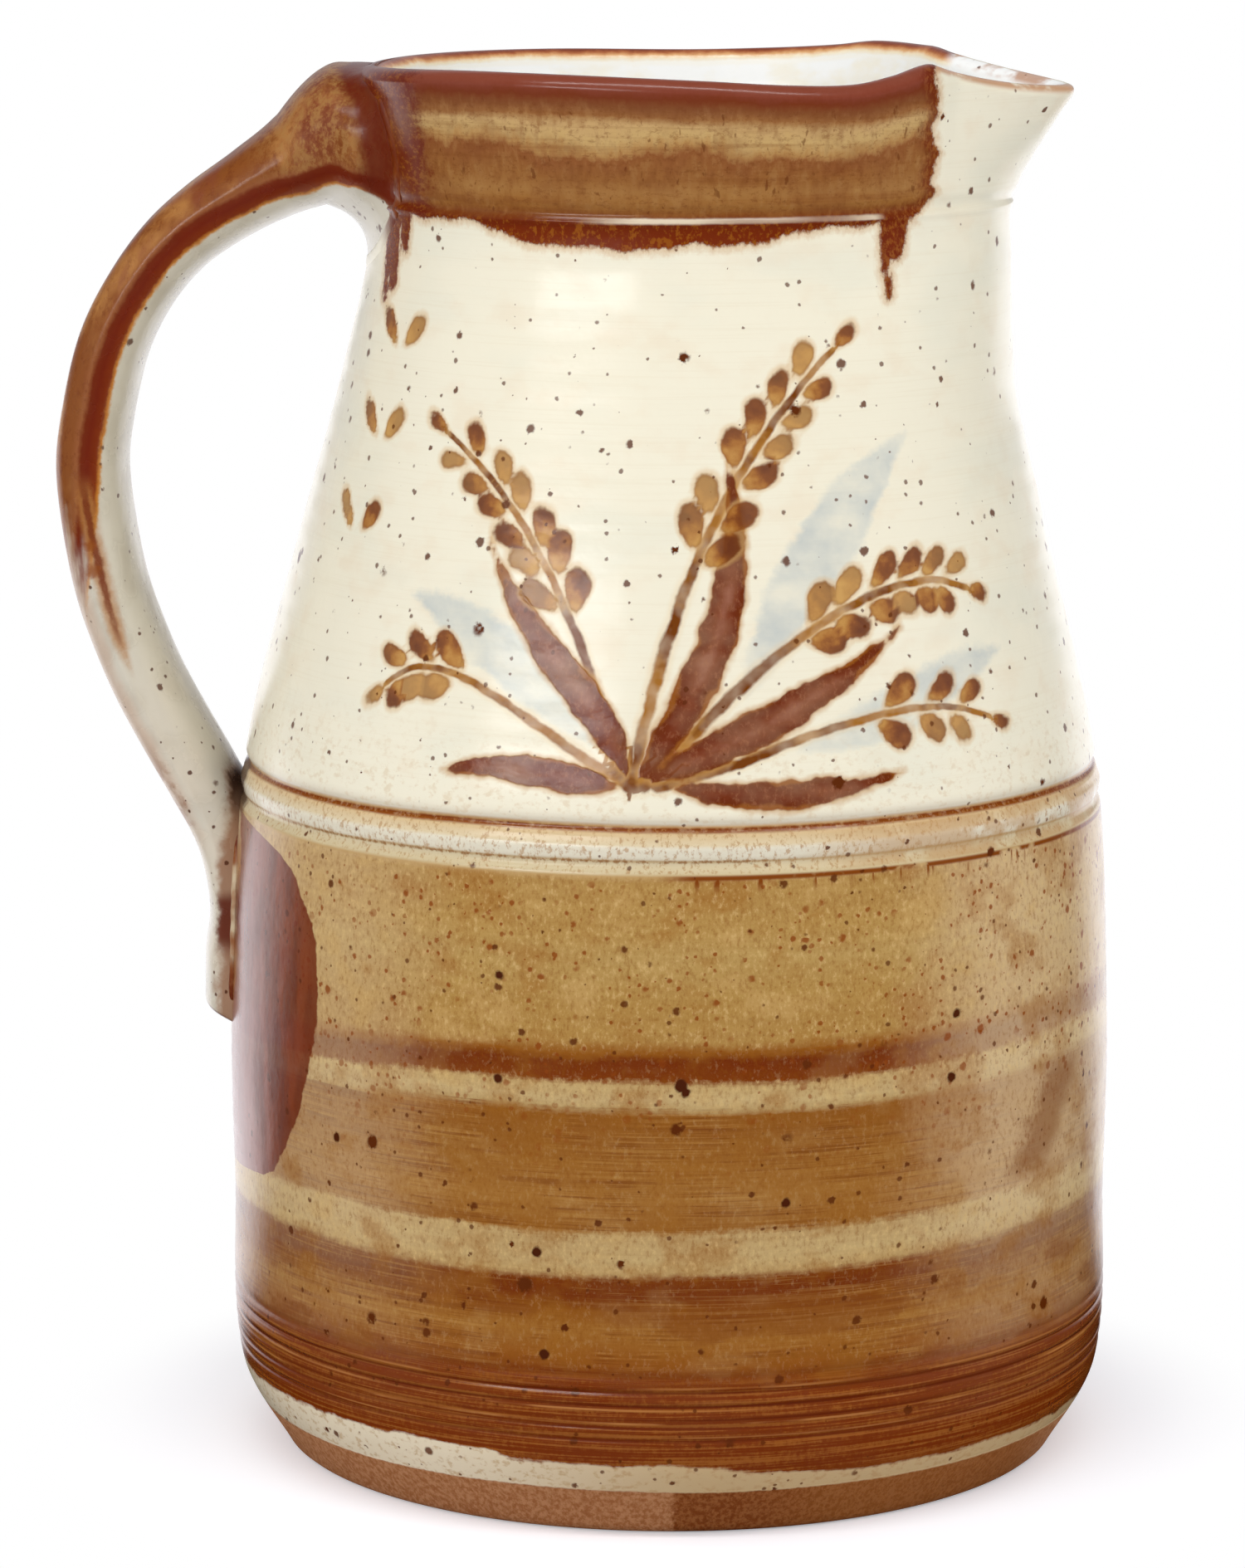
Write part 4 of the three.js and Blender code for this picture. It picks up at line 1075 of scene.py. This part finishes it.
def handle_glaze():
    net = new_net("handle_glaze")
    field, noise, shift, step, mix = net.field, net.noise, net.shift, net.step, net.mix
    ramp, uneven, within, layered = net.ramp, net.uneven, net.within, net.layered
    along, back, cut, seam = (field(n) for n in ("along", "back", "cut", "seam"))
    blotch, fine = noise(7, 4, seed=41), noise(1.4, 3, 0.6, seed=42)
    slow = noise(24, 2, seed=43)
    pale = mix(step(blotch, 0.42, 0.66), (208, 201, 184), (198, 190, 172))
    b = uneven(back, (fine, 0.45), (blotch, 0.5))
    iron = ramp(b, (-4.2, 196, 148, 84), (-3.7, 188, 118, 36), (-3.2, 128, 46, 0), (-1.6, 112, 30, 0),
        (-0.5, 114, 38, 4), (0.3, 144, 84, 44), (1.4, 134, 74, 28), (7, 130, 70, 24))
    tan = step(b, 0.4, 1.6) * step(noise((12, 6, 16), 4, 0.6, seed=44), 0.46, 0.66)
    rosy = step(b, 0.4, 2) * step(noise((8, 8, 30), 3, 0.6, seed=45), 0.5, 0.66)
    root = step(along, 22, 8)
    rough = noise((1.6, 1.6, 2.4), 4, 0.8, seed=47)
    rosy_back = (step(field("outward") + shift(blotch, 1.5), 1.2, 3.6) * step(along, 88, 104)
        * step(along, 166, 140))
    trails = noise((2.6, 2.6, 22), 3, 0.6, seed=48)
    ending = step(uneven(along, (blotch, 12), (trails, 18)), 114, 92)
    pale = layered(pale,
        ((222, 208, 186), step(along, 110, 150) * step(slow, 0.4, 0.6) * 0.5),
        ((204, 166, 140), rosy_back * 0.45))
    iron = layered(iron,
        ((182, 126, 66), tan * 0.7),
        ((128, 62, 44), rosy * 0.5),
        ((162, 116, 62), root * step(rough, 0.45, 0.6) * step(b, -0.6, 0.6) * 0.75),
        ((104, 40, 8), step(b, -0.6, 0.6) * step(rough, 0.48, 0.36) * 0.4),
        ((102, 26, 0), root * step(seam + shift(blotch, 2.5), 5.4, 2.6) * 0.9))
    glaze = mix(step(b, -4.3, -3.7) * ending, pale, iron)
    streak = uneven(field("streak"), (fine, 0.6), (blotch, 0.5))
    trail = step(streak, -2, -0.2) * step(along, 84, 90)
    core = trail * step(streak, -0.6, 0.1) * step(along + shift(fine, 10), 128, 104)
    crown = (step(field("outward") + shift(fine, 1), 2.4, 3.4) * step(along, 132, 146)
        * step(along, 153, 151))
    low = step(along, 138, 150)
    creep = uneven(seam, (blotch, 2.4), (fine, 0.8))
    # Painted shade on the strap where it lies close to the wall, just above its pressed end
    nook_shade = within(along, 132, 140, 148, 156) * step(creep, 2.7, 1)
    pool = within(along, 165, 168, 174, 179) * step(creep, 3.8, 2.4)
    glaze = layered(glaze,
        ((176, 118, 56), trail * 0.75),
        ((118, 48, 14), core * 0.9),
        ((146, 94, 64), crown * step(blotch, 0.42, 0.56) * 0.7),
        ((146, 92, 50), low * step(creep, 3.8, 1.6) * 0.8),
        ((48, 18, 4), nook_shade * 0.9),
        ((98, 26, 0), pool * 0.9),
        ((112, 62, 40), cut * step(blotch, 0.35, 0.55)))
    for cell, radius, share, seed_at in ((2.2, 0.55, 0.75, 5.3), (4.6, 1, 0.7, 14.9)):
        dots = net.specks(cell, radius, share, seed_at) * step(b, -3, -4.2) * 0.9
        glaze = mix(dots, glaze, (84, 38, 12))
    stain = net.spots([(-103.6, -12.6, 160.4, 1.1), (-104, -12.6, 165, 0.8)]) + shift(fine, 1.2)
    gloss = 0.27 + shift(blotch, 0.06)
    relief = blotch * 0.8 + noise((2.5, 2.5, 2.5), 2, seed=46) * 0.5
    glaze = mix(step(stain, 0.8, -0.4) * 0.8, glaze, (140, 70, 14))
    return net.finish(glaze, gloss, relief, 0.14)


def slip_glaze():
    net = new_net("joint_slip")
    field, noise, shift, step, spread = net.field, net.noise, net.shift, net.step, net.spread
    mix = net.mix
    blotch, fine = noise(6, 3, seed=51), noise(1.2, 3, 0.6, seed=52)
    dark = mix(step(blotch, 0.4, 0.62), (104, 30, 0), (130, 62, 14))
    pale = mix(step(blotch, 0.36, 0.6), (206, 186, 152), (150, 92, 50))
    pale = mix(field("plain"), pale, CREAM)
    slip = mix(field("iron"), pale, dark)
    slip = mix(step(fine, 0.5, 0.72) * spread(field("plain"), 0, 1, 0.4, 0), slip, (170, 116, 70))
    return net.finish(slip, 0.3 + shift(blotch, 0.08), fine + blotch, 0.12)


# Pieces


body = make_body(body_glaze())
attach(body, "root")
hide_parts("pitcher_body")

handle, root_outline = make_handle(handle_glaze())
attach(handle, "root")
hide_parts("handle")

slip_material = slip_glaze()
root_path = resampled(root_outline, 260)
root_iron = smoothstep(root_path[:, 2], 219, 225)
root_fields = {"iron": root_iron, "plain": 0 * root_iron + 1}
root_seam = bead("upper_slip_roll", root_path, 1.5, 0.2, slip_material, root_fields)
heel_path = lower_seam_path()
heel_iron = smoothstep(heel_path[:, 2], 92, 86) + smoothstep(heel_path[:, 2], 106, 110)
heel_fields = {"iron": heel_iron, "plain": 0 * heel_iron}
heel_seam = bead("lower_slip_roll", heel_path, 0.95, 0.75, slip_material, heel_fields)
for seam, node in ((root_seam, "upper_slip_seam"), (heel_seam, "lower_slip_seam")):
    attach(seam, "root")
    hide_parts(node)

# Stage: a white floor that keeps a soft shadow, in plain white surroundings


def white_floor():
    net = new_net("floor_white")
    flat = net.vector("MULTIPLY", net.place, (MM, MM, 0))
    toward = net.value("ShaderNodeVectorMath", {0: flat}, operation="NORMALIZE")
    behind = net.measure("DOT_PRODUCT", toward, (-0.19, 0.982, 0))

    def glowing(colour, strength):
        return net.value("ShaderNodeEmission", {"Color": (*colour, 1), "Strength": strength})

    diffuse = net.value("ShaderNodeBsdfDiffuse", {"Color": (0.86, 0.86, 0.89, 1)})
    near = net.value("ShaderNodeAddShader", {0: diffuse, 1: glowing((0.97, 0.97, 1), 0.34)})
    far = net.step(net.measure("LENGTH", flat), 0.08, 0.12)
    seen = net.value("ShaderNodeMixShader", {0: far, 1: near, 2: glowing((1, 1, 1), 1)})
    mirrored = glowing((0.96, 0.96, 1), net.spread(behind, 0.44, 0.68, 0, 1.55))
    shader = net.by_ray("Is Camera Ray", net.by_ray("Is Glossy Ray", diffuse, mirrored), seen)
    net.node("ShaderNodeOutputMaterial", {"Surface": shader})
    return net.owner


def white_world():
    """White for the camera, plain as a light, and mirrored dim before the pitcher and bright behind it."""
    net = Net(bpy.data.worlds.new("surroundings"))

    def background(colour, strength):
        return net.value("ShaderNodeBackground", {"Color": (*colour, 1), "Strength": strength})

    way = net.value("ShaderNodeTexCoord", output="Generated")
    behind = net.measure("DOT_PRODUCT", way, (-0.06, 0.985, -0.17))
    mirrored = background((0.94, 0.94, 1), net.spread(behind, 0.42, 0.8, 0.04, 0.5))
    light = net.by_ray("Is Glossy Ray", background((0.96, 0.97, 1), 0.42), mirrored)
    light = net.by_ray("Is Camera Ray", light, background((1, 1, 1), 1))
    net.node("ShaderNodeOutputWorld", {"Surface": light})
    return net.owner


bpy.ops.mesh.primitive_plane_add(size=14, location=(0, 0, -0.0002))
floor = bpy.context.object
floor.name = "floor"
floor.data.materials.append(white_floor())

bpy.context.scene.world = white_world()


def soft_light(name, azimuth, elevation, distance, size, power, mirrored=True):
    """A lamp of (width, height) that faces the middle of the pitcher; azimuth 0 is beside the camera, more is
    to the right."""
    a, e = math.radians(azimuth) + FRONT, math.radians(elevation)
    way = np.array([math.cos(a) * math.cos(e), math.sin(a) * math.cos(e), math.sin(e)])
    lamp = bpy.data.lights.new(name, "AREA")
    lamp.shape, (lamp.size, lamp.size_y), lamp.energy = "RECTANGLE", size, power
    light = bpy.data.objects.new(name, lamp)
    light.location = way * distance + (0, 0, 0.13)
    light.rotation_mode = "QUATERNION"
    light.rotation_quaternion = Vector(-way).to_track_quat("-Z", "Y")
    light.visible_glossy = mirrored
    bpy.context.scene.collection.objects.link(light)


soft_light("key", -34, 18, 1.2, (0.72, 0.1), 2.3)
soft_light("fill", 14, 30, 1.3, (1.0, 1.0), 2.5, mirrored=False)
soft_light("fill_left", -84, 8, 1.2, (0.9, 0.9), 2.75, mirrored=False)
soft_light("fill_right", 80, 2, 1.2, (0.9, 0.9), 4.7, mirrored=False)
soft_light("top", 0, 60, 1.2, (1.8, 0.14), 6.8)

camera = bpy.data.objects.new("camera", bpy.data.cameras.new("camera"))
camera.location = (0.05537, -1.04643, 0.3053)
camera.rotation_euler = (math.radians(79.98), 0, math.radians(3.5))
camera.data.lens, camera.data.sensor_width = 133.63, 36
camera.data.clip_start, camera.data.clip_end = 0.05, 50
bpy.context.scene.collection.objects.link(camera)
bpy.context.scene.camera = camera
bpy.context.scene.view_settings.view_transform = "Standard"
